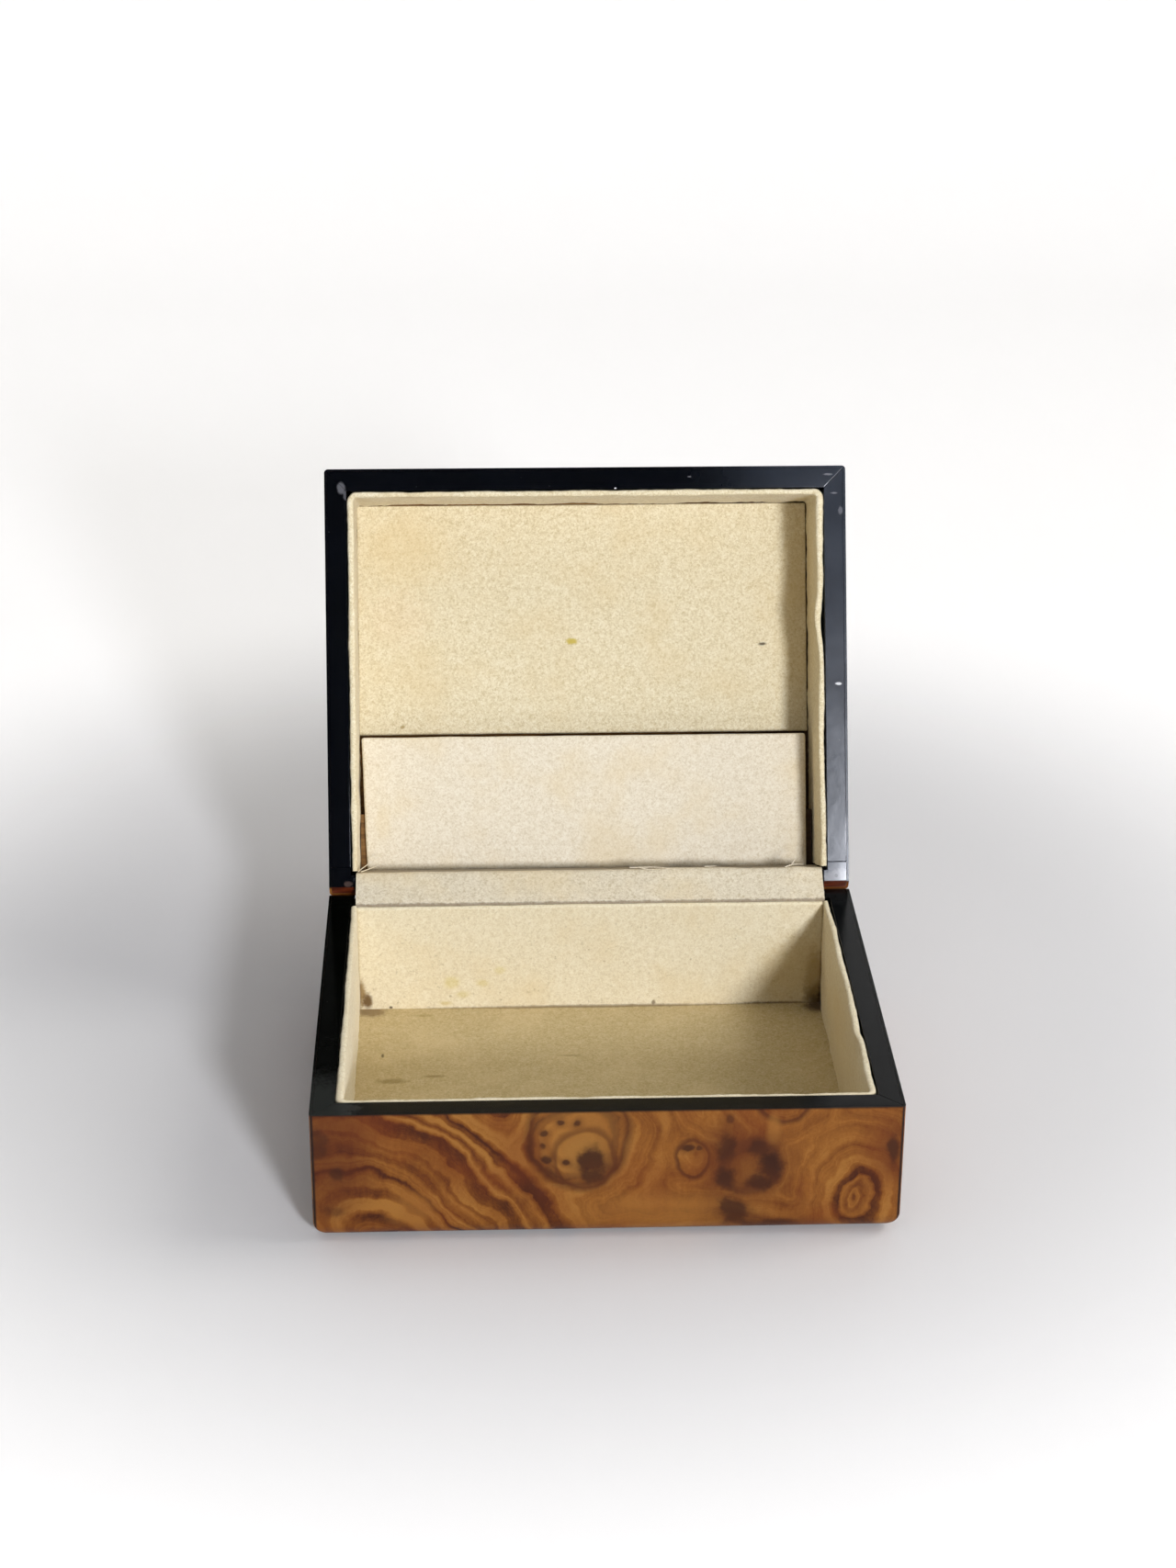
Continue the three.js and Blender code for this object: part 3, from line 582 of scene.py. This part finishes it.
def wrap_veneer(tray):
    """All four edge veneers of a tray in one shell, before they are sawn apart."""
    low = RIM - TRAY_HEIGHT[tray]
    shell = start_block("shell", (-HALF_WIDTH, FRONT, low), (HALF_WIDTH, REAR, RIM))
    round_edges(shell, lambda a, b: max(a.z, b.z) < low + TOUCH, EDGE_ROUND, 12)

    def on_corner(p):
        from_side, from_end = HALF_WIDTH - abs(p.x), min(p.y - FRONT, REAR - p.y)
        return abs(from_side - from_end) < TOUCH and from_side < EDGE_ROUND + TOUCH

    round_edges(shell, lambda a, b: on_corner(a) and on_corner(b) and abs(a.z - b.z) > TOUCH, CORNER_ROUND, 5)
    open_mesh(shell, "FACE", lambda face: abs(face.normal.z) > 0.999)
    bpy.ops.mesh.delete(type="FACE")
    close_mesh()
    shape(shell, "SOLIDIFY", thickness=VENEER * MM, offset=-1, use_even_offset=True)
    saw(shell, (0, REAR - REAR_BEVEL[tray], RIM), (0, 1, 1))
    return shell


def mark_veneer(sheet, side, low):
    """Lays the figure's map along the sheet and down round its rounded edge."""
    layer = sheet.data.uv_layers.new(name="veneer")
    centre = low + EDGE_ROUND
    for loop in sheet.data.loops:
        p = sheet.data.vertices[loop.vertex_index].co / MM
        inset = {"front": p.y - FRONT, "hinge_side": REAR - p.y}.get(side, HALF_WIDTH - abs(p.x))
        down = RIM - p.z
        if p.z < centre:
            down = RIM - centre + EDGE_ROUND * math.atan2(centre - p.z, max(EDGE_ROUND - inset, 1e-6))
        along = p.x if side in ("front", "hinge_side") else p.y - (FRONT + REAR) / 2
        layer.data[loop.index].uv = (along * MM, down * MM)


FIGURE_SEED = {"front": 3, "left": 11, "right": 23, "hinge_side": 37}
LID_SEED = 50
for tray in ("base", "lid"):
    whole = wrap_veneer(tray)
    for side in ("front", "left", "right", "hinge_side"):
        work_on(whole)
        bpy.ops.object.duplicate(linked=False)
        sheet = bpy.context.active_object
        sheet.name = f"{tray}_{side}_burl"
        turned = side if tray == "base" else lid_side(side)
        if turned in ("front", "hinge_side"):
            end, facing = (FRONT, 1) if turned == "front" else (REAR, -1)
            saw(sheet, (HALF_WIDTH, end, 0), (1, facing, 0))
            saw(sheet, (-HALF_WIDTH, end, 0), (-1, facing, 0))
        else:
            hand = 1 if turned == "right" else -1
            saw(sheet, (hand * HALF_WIDTH, FRONT, 0), (-hand, -1, 0))
            saw(sheet, (hand * HALF_WIDTH, REAR, 0), (-hand, 1, 0))
        if turned == "hinge_side":
            cut_away(sheet, hinge_recess())
        mark_veneer(sheet, turned, RIM - TRAY_HEIGHT[tray])
        polish(sheet, 30)
        seed = FIGURE_SEED[side] + (LID_SEED if tray == "lid" else 0)
        if tray == "base" and side == "front":
            # the front sheet is painted dark near its two ends and along its bottom, a painted shade
            figure = FRONT_KNOTS, FRONT_EYES, FRONT_PATCHES, (HALF_WIDTH, 48.2), FRONT_BANDS, (-24, 4, 0.45)
        else:
            figure = loose_figure(seed, 85 if side in ("front", "hinge_side") else 68, TRAY_HEIGHT[tray] + 4)
        finishes = [burl_veneer(f"burl_{tray}_{side}", seed, *figure), base_lacquer if tray == "base" else lid_lacquer]
        on_rim = [f.normal.z > 0.9 and f.center.z > (RIM - 0.1) * MM for f in sheet.data.polygons]
        fit(sheet, tray, finishes, "burl_veneer", f"{tray}_{side}_veneer")
        for face, is_rim in zip(sheet.data.polygons, on_rim):
            face.material_index = int(is_rim)
    bpy.data.objects.remove(whole, do_unlink=True)

# The lid's top: one large burl sheet on the thin closing board, flush with the
# rounded edges and polished with them.
top_low, top_half = RIM - TRAY_HEIGHT["lid"], HALF_WIDTH - EDGE_ROUND
top_sheet = start_block("lid_top_burl", (-top_half, FRONT + EDGE_ROUND, top_low),
                        (top_half, REAR - EDGE_ROUND, top_low + VENEER))
layer = top_sheet.data.uv_layers.new(name="veneer")
for loop in top_sheet.data.loops:
    p = top_sheet.data.vertices[loop.vertex_index].co
    layer.data[loop.index].uv = (p.x, p.y - FRONT * MM)
soften_edges(top_sheet, 0.06)
polish(top_sheet)
fit(top_sheet, "lid", [burl_veneer("burl_lid_top", 71, *loose_figure(8, 82, 140, 7))], "burl_veneer", "lid_top_veneer")

# The closing boards and pocket blocks: plain softwood, left raw because the cloth and
# felt cover them. A strip of one block shows beside the pocket board.
raw = Finish("raw_softwood")
raw_at = raw.place()
raw_grain = raw.cloud(raw.stretch(raw_at, 0.08, 1.0, 1.0), 0.9, 6.0, 0.65, 0.6)
raw.relief(raw_grain, 0.15, 0.6)
raw_grain_colour = raw.ramp(
    raw_grain, (0.3, (0.10, 0.045, 0.012)), (0.55, (0.23, 0.115, 0.034)), (0.8, (0.34, 0.19, 0.065)))
# painted shade: the wood is painted nearly black on the right, where the gap beside the pocket board lies in shadow
raw_right_painted_shade = raw.step(raw.axis(raw_at, 0), 20.0, 60.0, 0.0, 0.85)
raw_wood = raw.set(base=raw.over(raw_right_painted_shade, raw_grain_colour, (0.03, 0.018, 0.012)), rough=0.75, gloss=0.25)


def refinish(node, finish):
    """A plain piece keeps its solid and gets only a finish."""
    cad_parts[node].data.materials.clear()
    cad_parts[node].data.materials.append(finish)


for node in ("base_board", "lid_board", "lid_left_pocket_block", "lid_right_pocket_block"):
    refinish(node, raw_wood)

# The hinges: two brass stop hinges with countersunk screws, dulled by age. The leaves
# lie in the lowered hinge walls and the cloth strip hides them from inside.
brass = Finish("aged_brass")
brass_at = brass.place()
tarnish = brass.cloud(brass_at, 0.35, 5.0, 0.65)
brass.relief(brass.cloud(brass.stretch(brass_at, 0.1, 1.0, 1.0), 6.0, 4.0, 0.6), 0.02, 0.5)
aged_brass = brass.set(
    base=brass.ramp(tarnish, (0.3, (0.24, 0.14, 0.045)), (0.6, (0.56, 0.38, 0.13)), (0.85, (0.70, 0.51, 0.22))),
    rough=brass.step(tarnish, 0.3, 0.8, 0.55, 0.25), metal=1.0,
)
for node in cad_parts:
    if "_hinge_" in node and ("leaf" in node or "screw" in node or "pin" in node):
        refinish(node, aged_brass)

# The felt that the box stands on: dark wool felt, glued to the underside inside the
# rounded lower edges.
felt_low, felt_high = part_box("base_underside_felt")
bpy.ops.mesh.primitive_grid_add(x_subdivisions=60, y_subdivisions=48, size=1)
felt_sheet = bpy.context.active_object
felt_sheet.name = "underside_felt"
felt_sheet.scale = (felt_high.x - felt_low.x, felt_high.y - felt_low.y, 1)
felt_sheet.location = ((felt_low.x + felt_high.x) / 2, (felt_low.y + felt_high.y) / 2, felt_high.z)
settle()
shape(felt_sheet, "SOLIDIFY", thickness=felt_high.z - felt_low.z, offset=-1)
soften_edges(felt_sheet, 0.3)
polish(felt_sheet)
felt = Finish("wool_felt")
felt_nap = felt.cloud(felt.place(), 2.2, 6.0, 0.7, 0.8)
felt.relief(felt_nap, 0.3, 0.8)
felt_sheet.data.materials.append(felt.set(
    base=felt.ramp(felt_nap, (0.3, (0.012, 0.011, 0.010)), (0.6, (0.028, 0.026, 0.024)), (0.8, (0.055, 0.051, 0.046))),
    rough=0.95, gloss=0.1, sheen=0.3, sheen_rough=0.6,
))
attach(felt_sheet, "base")
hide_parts("base_underside_felt")

# The linings: thin card covered in cream velour, the cloth turned over every edge.
# Each tray has one long card bent round its three walls, so the corners are round.
def velour(name, bright, mid, shade, stains_and_shade, shade_bounds=None):
    """Each stain has its centre, reach, tint and strength; some calls also list painted shade among them. Where two
    distances along the cloth's own map are given, the cloth is painted dark below the first and beyond the second, a
    painted shade where it meets other cloth."""
    cloth = Finish(name)
    at = cloth.place()
    pile = cloth.cloud(at, 1.35, 5.0, 0.66, 0.8)
    nap = cloth.cloud(at, 0.5, 3.0, 0.6, 0.5)
    wash = cloth.cloud(at, 0.045, 3.0, 0.55)
    tone = cloth.sum(cloth.times(pile, 0.75), cloth.times(nap, 0.25))
    colour = cloth.ramp(tone, (0.39, shade), (0.50, mid), (0.61, bright))
    colour = cloth.over(cloth.step(wash, 0.45, 0.75, 0.0, 0.35), colour, (0.76, 0.60, 0.33))
    # stains, and in some calls painted shade laid on the same way
    for centre, reach, tint, strength in stains_and_shade:
        ragged = cloth.sway(cloth.cloud(at, 0.6, 5.0, 0.65), 0.9)
        stain_and_shade_mask = cloth.step(cloth.sum(cloth.spot(at, centre, reach), ragged), 0.08, 0.85)
        colour = cloth.over(cloth.times(stain_and_shade_mask, strength), colour, tint)
    # painted shade: the strip's cloth darkened at its low end, over the rear lining's top, and where it runs under the
    # pocket board
    if shade_bounds:
        run = cloth.sum(cloth.axis(cloth.lay("ShaderNodeUVMap", uv_map="cloth"), 1), cloth.sway(nap, 1.2 * MM))
        low, high = (d * MM for d in shade_bounds)
        below = cloth.step(run, low - 0.6 * MM, low + 0.2 * MM, 1.0, 0.0)
        above = cloth.step(run, high - 0.5 * MM, high + 0.3 * MM)
        colour = cloth.over(cloth.times(cloth.sum(below, above, "MAXIMUM"), 0.6), colour, (0.10, 0.055, 0.022))
    cloth.relief(cloth.sum(cloth.times(pile, 0.7), cloth.times(nap, 0.4)), 0.3, 0.5)
    return cloth.set(base=colour, rough=0.95, gloss=0.12, sheen=0.12, sheen_rough=0.45)


base_velour = velour("cream_velour_base", (0.885, 0.803, 0.593), (0.82, 0.725, 0.505), (0.729, 0.624, 0.411), [
    ((-79.6, 64, 11), (2.8, 4, 9), (0.34, 0.22, 0.08), 0.9),
    ((-77.6, 64, 8), (3.0, 4, 5.5), (0.16, 0.09, 0.03), 0.95),
    ((-69.5, 64, 5.4), (1.1, 2, 1.0), (0.08, 0.05, 0.02), 0.9),
    ((-48.3, 64, 15), (4.6, 3, 4.4), (0.70, 0.58, 0.20), 0.5),
    ((-50.5, 64, 6.8), (4.0, 3, 1.6), (0.62, 0.48, 0.16), 0.5),
    ((-44.5, 64, 10.2), (4.0, 3, 2.4), (0.66, 0.54, 0.20), 0.5),
    ((-37.6, 64, 14.5), (4.0, 3, 2.6), (0.68, 0.55, 0.20), 0.5),
    ((-31.5, 64, 19.5), (3.4, 3, 2.8), (0.72, 0.60, 0.24), 0.45),
    ((80, 63.5, 8), (9, 9, 9), (0.030, 0.010, 0.006), 1.0),
    ((78, 64, 16), (6, 4, 18), (0.30, 0.20, 0.08), 0.6),
    # painted shade: dark lines along the crease between the rear lining and the floor, darkest at the right
    ((66, 64, 4.9), (26, 1.6, 1.6), (0.12, 0.07, 0.03), 0.8),
    ((0, 64, 4.9), (96, 1.1, 1.1), (0.25, 0.17, 0.08), 0.65),
    ((22, 64, 6), (1.3, 1.2, 1.6), (0.14, 0.09, 0.04), 0.7),
    # painted shade: warm darkening of the rear lining's right end and of the right side lining, where the right wall's
    # shadow falls
    ((72, 64, 18), (24, 5, 24), (0.62, 0.45, 0.17), 0.4),
    ((80, 0, 18), (4, 90, 40), (0.70, 0.54, 0.25), 0.4),
])
# The floor's cloth is a darker, yellower copy of the lining's velour, partly dust and partly painted shade, as the
# floor lies in the front wall's shadow.
floor_velour = velour("dusty_and_shaded_velour_floor", (0.655, 0.535, 0.30), (0.58, 0.455, 0.23), (0.49, 0.37, 0.165), [
    ((-76, 62, 5), (9, 6, 3), (0.26, 0.17, 0.07), 0.8),
    ((80, 62, 5), (10, 8, 3), (0.10, 0.05, 0.02), 0.9),
    # painted shade: a dark line along the crease with the rear lining
    ((0, 63.9, 4.9), (96, 1.6, 1.6), (0.22, 0.15, 0.07), 0.6),
    # painted shade: darker, yellower patches near the front wall
    ((-60, -52, 5), (28, 20, 6), (0.40, 0.30, 0.10), 0.4),
    ((30, -40, 5), (44, 26, 6), (0.46, 0.36, 0.16), 0.3),
    ((-58, 59, 5), (6, 1.6, 1.4), (0.36, 0.27, 0.09), 0.5),
    ((-68, 14.5, 5), (9, 3.0, 2), (0.27, 0.19, 0.055), 0.6),
    ((-54, 17.4, 5), (7, 1.5, 2), (0.30, 0.21, 0.07), 0.6),
    ((-71.5, 31.6, 5), (0.9, 2.4, 1.4), (0.12, 0.08, 0.03), 0.8),
    ((-8, 30, 5), (7, 0.9, 0.9), (0.34, 0.25, 0.10), 0.6),
    ((48, -20, 5), (1.4, 3.0, 1.4), (0.22, 0.16, 0.08), 0.7),
])
lid_velour = velour("cream_velour_lid", (0.90, 0.815, 0.60), (0.80, 0.695, 0.46), (0.66, 0.545, 0.32), [
    (in_lid(-62, 120, 35), (30, 24, 24), (0.80, 0.62, 0.32), 0.30),
    (in_lid(-66, 96, 35), (20, 18, 18), (0.82, 0.62, 0.38), 0.22),
    (in_lid(-4.4, 87.6, 35.3), (3.8, 2.0, 2.0), (0.58, 0.44, 0.06), 0.85),
    (in_lid(64.0, 86.0, 35.3), (2.4, 1.0, 1.0), (0.10, 0.08, 0.05), 0.9),
    (in_lid(-65, 57.5, 35.3), (1.6, 1.2, 1.2), (0.40, 0.28, 0.10), 0.8),
    # painted shade: a dark line along the crease at the panel's top edge
    (in_lid(0, 136.5, 35.3), (90, 0.9, 0.9), (0.30, 0.22, 0.11), 0.7),
    (in_lid(58, 143, 1), (3.0, 1.6, 1.6), (0.35, 0.27, 0.14), 0.6),
    # painted shade: warm darkening along the panel's right side, where the lid's right wall throws its shadow
    (in_lid(77, 95, 35), (9, 70, 70), (0.64, 0.47, 0.18), 0.35),
])
pocket_velour = velour("pale_velour_pocket", (0.892, 0.818, 0.656), (0.82, 0.73, 0.56), (0.708, 0.61, 0.432), [
    (in_lid(-72, 24, 22), (5, 10, 10), (0.70, 0.55, 0.28), 0.25),
])


def crumple(piece, depth, size):
    """The slight unevenness of cloth over card, in millimetres."""
    waves = bpy.data.textures.new("waves", "CLOUDS")
    waves.noise_scale = size * MM
    shape(piece, "DISPLACE", texture=waves, texture_coords="LOCAL", direction="NORMAL", strength=depth * MM,
          mid_level=0.5)


CLOSING = 3.2  # the closing board, with its veneer or felt
CARD, LINING_FACE = 2.0, 80.2
BASE_FLOOR = RIM - TRAY_HEIGHT["base"] + CLOSING
REAR_LINING, REAR_LINING_BACK = -8.8, -6.8


def bent_card(name, tray):
    """One card bent round the left, front and right walls: its section is drawn at the right end and drawn along."""
    low, high, end = RIM - TRAY_HEIGHT[tray] + CLOSING, RIM - 0.3, REAR_LINING + 1
    bend, wall_gap, step = 3.2, 0.3, 1.2
    corner = Vector((LINING_FACE + CARD - bend, FRONT + WALL + wall_gap + bend, 0))
    card = start_block(name, (LINING_FACE, end, low), (LINING_FACE + CARD, end + 1, high))
    open_mesh(card, "FACE", lambda face: face.normal.y > -0.5)
    bpy.ops.mesh.delete(type="FACE")
    close_mesh()
    open_mesh(card, "VERT", lambda vertex: True)
    bpy.ops.mesh.bevel(offset=0.8 * MM, segments=4, affect="VERTICES")
    close_mesh()
    corners = card.data.vertices
    open_mesh(card, "EDGE", lambda edge: abs(corners[edge.vertices[0]].co.z - corners[edge.vertices[1]].co.z) > 5 * MM)
    bpy.ops.mesh.subdivide(number_cuts=16)
    bpy.ops.mesh.select_all(action="SELECT")

    def draw(cuts, along):
        for _ in range(cuts):
            bpy.ops.mesh.extrude_region_move(TRANSFORM_OT_translate={"value": Vector(along) / cuts * MM})

    side_cuts = round((end - corner.y) / step)
    draw(side_cuts, (0, corner.y - end, 0))
    bpy.ops.mesh.spin(steps=8, angle=math.pi / 2, center=corner * MM, axis=(0, 0, 1))
    draw(130, (-2 * corner.x, 0, 0))
    bpy.ops.mesh.spin(steps=8, angle=math.pi / 2, center=(-corner.x * MM, corner.y * MM, 0), axis=(0, 0, 1))
    draw(side_cuts, (0, end - corner.y, 0))
    bpy.ops.mesh.select_all(action="SELECT")
    bpy.ops.mesh.remove_doubles(threshold=1e-6)
    bpy.ops.mesh.normals_make_consistent(inside=False)
    close_mesh()
    crumple(card, 1.0, 12)
    crumple(card, 0.45, 1.3)
    return card


# The upper edges aren't straight: the base's right one has a notch and the lid's right one is pushed out of line.
base_card = bent_card("base_wall_lining", "base")
for vertex in base_card.data.vertices:
    back, near = vertex.co.y / MM, max(0.0, 1 + vertex.co.z / MM / 12)
    if vertex.co.x / MM > 76:
        notch = math.exp(-((back + 99) / 4) ** 2)
        vertex.co.x += (0.25 * math.sin(back * 0.16) - 0.7 * notch) * near * near * MM
polish(base_card, 50)
fit(base_card, "base", [base_velour], "velour", "base_front_lining", "base_left_lining", "base_right_lining")

lid_card = bent_card("lid_wall_lining", "lid")
for vertex in lid_card.data.vertices:
    back, near = vertex.co.y / MM, max(0.0, 1 + vertex.co.z / MM / 14)
    if vertex.co.x / MM < -76:
        bulge = 1.7 * math.exp(-((back + 93) / 9) ** 2) + 0.35 * math.sin(back * 0.09)
        vertex.co.x += bulge * near * near * MM
polish(lid_card, 50)
fit(lid_card, "lid", [lid_velour], "velour", "lid_front_lining", "lid_left_lining", "lid_right_lining")


def covered_card(name, low, high, round_over, waves):
    """A flat card in tray measure, covered on both faces, with its long sides divided for the cloth's unevenness.
    It lies flat or, where its thickness is along y, it stands."""
    wide, deep, tall = (b - a for a, b in zip(low, high))
    stands = deep < tall
    second, thick = (tall, deep) if stands else (deep, tall)
    bpy.ops.mesh.primitive_grid_add(x_subdivisions=round(wide / 3), y_subdivisions=round(second / 3), size=MM)
    card = bpy.context.active_object
    card.name = name
    card.scale = (wide, second, 1)
    settle()
    card.rotation_euler = (math.pi / 2 if stands else 0, 0, 0)
    card.location = [(a + b) / 2 * MM for a, b in zip(low, high)]
    settle()
    shape(card, "SOLIDIFY", thickness=thick * MM, offset=0)
    soften_edges(card, min(round_over, thick * 0.45), 3)
    crumple(card, *waves)
    return card


rear_card = covered_card(
    "base_rear_lining_card", (-80.4, REAR_LINING, BASE_FLOOR), (80.4, REAR_LINING_BACK, -1.1), 0.9, (0.5, 16)
)
polish(rear_card, 50)
fit(rear_card, "base", [base_velour], "velour", "base_rear_lining")

floor_card = covered_card(
    "base_floor_card", (-80.5, -136.9, BASE_FLOOR), (80.5, -8.5, BASE_FLOOR + 1.2), 0.4, (0.4, 18)
)
polish(floor_card, 50)
fit(floor_card, "base", [floor_velour], "velour", "base_floor_lining")

# The panel inside the lid's top and the pocket board below it: covered cards, the
# pocket board standing on two blocks a little in front of the panel.
panel_card = covered_card("lid_panel_card", (-79.9, -136.4, -36.5), (80.4, -54.7, -35.3), 0.5, (0.4, 18))
polish(panel_card, 50)
fit(panel_card, "lid", [lid_velour], "velour", "lid_panel")

# The pocket board's edge by the hinges swells in places, and one upper corner has slipped outwards.
POCKET_LOW, POCKET_HIGH = -53.9, -6.6
pocket_card = covered_card("lid_pocket_card", (-77.7, POCKET_LOW, -24.1), (77.7, POCKET_HIGH, -22.1), 0.9, (0.4, 16))
for vertex in pocket_card.data.vertices:
    along, up = -vertex.co.x / MM, POCKET_HIGH - vertex.co.y / MM
    near = max(0.0, 1 - up / 4.5)
    swell = max(0.0, math.sin(along * 0.36 + 1.3 * math.sin(along * 0.17))) * min(1.0, max(0.0, along / 20))
    vertex.co.z += 1.3 * near * near * swell * MM
    vertex.co.x += 1.5 * max(0.0, -along / 17.7 - 3.4) * max(0.0, up) / (POCKET_HIGH - POCKET_LOW) * MM
polish(pocket_card, 50)
fit(pocket_card, "lid", [pocket_velour], "velour", "lid_pocket_board")

# The hinge cloth: a strip of the same velour, glued behind the base's rear lining and
# under the pocket board, that covers both hinges.
STRIP_WIDTH, STRIP_THICK = 161.4, 0.35
STRIP_PATH = [(66.0, 41.2), (66.0, 43.6), (66.15, 44.6), (67.2, 45.2), (69.5, 46.6), (72.0, 48.1), (74.4, 49.6),
              (76.2, 50.7), (77.3, 51.0), (78.6, 50.6), (80.2, 49.8), (83.0, 48.5), (88.0, 46.3), (93.0, 44.1),
              (95.3, 43.2)]
strip_lengths = [0.0]
for start, end in zip(STRIP_PATH, STRIP_PATH[1:]):
    strip_lengths.append(strip_lengths[-1] + math.dist(start, end))
strip_length = strip_lengths[-1]
bpy.ops.mesh.primitive_grid_add(x_subdivisions=100, y_subdivisions=60, size=1)
strip = bpy.context.active_object
strip.name = "hinge_cloth_strip"
cloth_map = strip.data.uv_layers.new(name="cloth")
for loop in strip.data.loops:
    corner = strip.data.vertices[loop.vertex_index].co
    cloth_map.data[loop.index].uv = (corner.x * STRIP_WIDTH * MM, (corner.y + 0.5) * strip_length * MM)
for vertex in strip.data.vertices:
    run = (vertex.co.y + 0.5) * strip_length
    i = max(k for k in range(len(STRIP_PATH) - 1) if strip_lengths[k] <= run + 1e-9)
    part = min(1.0, (run - strip_lengths[i]) / (strip_lengths[i + 1] - strip_lengths[i]))
    back, up = Vector(STRIP_PATH[i]).lerp(Vector(STRIP_PATH[i + 1]), part)
    along = vertex.co.x * STRIP_WIDTH
    if 74 < back < 82:
        wave = max(0.0, math.sin(along * 0.21 + 2.0 * math.sin(along * 0.08)))
        up += 0.45 * wave * min(1.0, max(0.0, along / 25))
    vertex.co = (along * MM, back * MM, up * MM)
shape(strip, "SOLIDIFY", thickness=STRIP_THICK * MM, offset=0)
crumple(strip, 0.35, 9)
polish(strip, 60)
# The strip is painted dark at both ends, a painted shade where it meets the rear lining and where it goes under the
# pocket board.
strip.data.materials.append(velour("grey_velour_strip", (0.80, 0.73, 0.57), (0.71, 0.63, 0.47), (0.57, 0.48, 0.32), [],
                                   shade_bounds=(3.9, strip_length - 17.5)))
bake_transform(strip)
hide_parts("hinge_cloth")

# Loose threads: the strip's raw edge frays along the pocket board, most at the right.
# Each is one spun thread that stays caught in the edge and rides on the lid.
THREAD_RADIUS, THREAD_LIFT = 0.2, 0.35
THREADS = [
    [(-80, 78, 51.2), (-77, 86, 50), (-72.5, 94, 49.6)],
    [(-79, 77.5, 51.3), (-75, 80, 51.6), (-73, 86, 49.8)],
    [(14, 78, 51.4), (18, 77, 51.9), (23, 78.5, 51.6), (28, 77.2, 51.2)],
    [(17, 78.2, 51.5), (20, 76.8, 51.0), (24, 77.4, 50.8)],
    [(40, 78, 51.5), (42.5, 77, 52.0), (44, 78.4, 51.4)],
    [(70, 78, 51.4), (71.5, 80, 52.4), (73.4, 86, 52.6)],
    [(68, 77.4, 51.2), (71, 77.8, 52.2), (74.5, 78.5, 51.5)],
]
thread_pieces = []
for points in THREADS:
    bpy.ops.curve.primitive_nurbs_path_add(radius=1, location=(0, 0, 0))
    thread = bpy.context.active_object.data
    spline = thread.splines[0]
    spline.use_endpoint_u = True
    steps = len(spline.points) - 1
    for i, knot in enumerate(spline.points):
        share = i / steps * (len(points) - 1)
        k = min(int(share), len(points) - 2)
        place = Vector(points[k]).lerp(Vector(points[k + 1]), share - k)
        knot.co = (place.x * MM, place.y * MM, (place.z + THREAD_LIFT) * MM, 1)
        knot.radius = 1.0 - 0.5 * i / steps
    thread.resolution_u = 8
    thread.bevel_depth = THREAD_RADIUS * MM
    thread.bevel_resolution = 2
    thread.use_fill_caps = True
    bpy.ops.object.convert(target="MESH")
    thread_pieces.append(bpy.context.active_object)
for thread in thread_pieces:
    thread.select_set(True)
bpy.context.view_layer.objects.active = thread_pieces[0]
bpy.ops.object.join()
threads = bpy.context.active_object
threads.name = "hinge_cloth_threads"
bpy.ops.object.shade_smooth()
threads.data.materials.append(pocket_velour)
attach(threads, "lid")
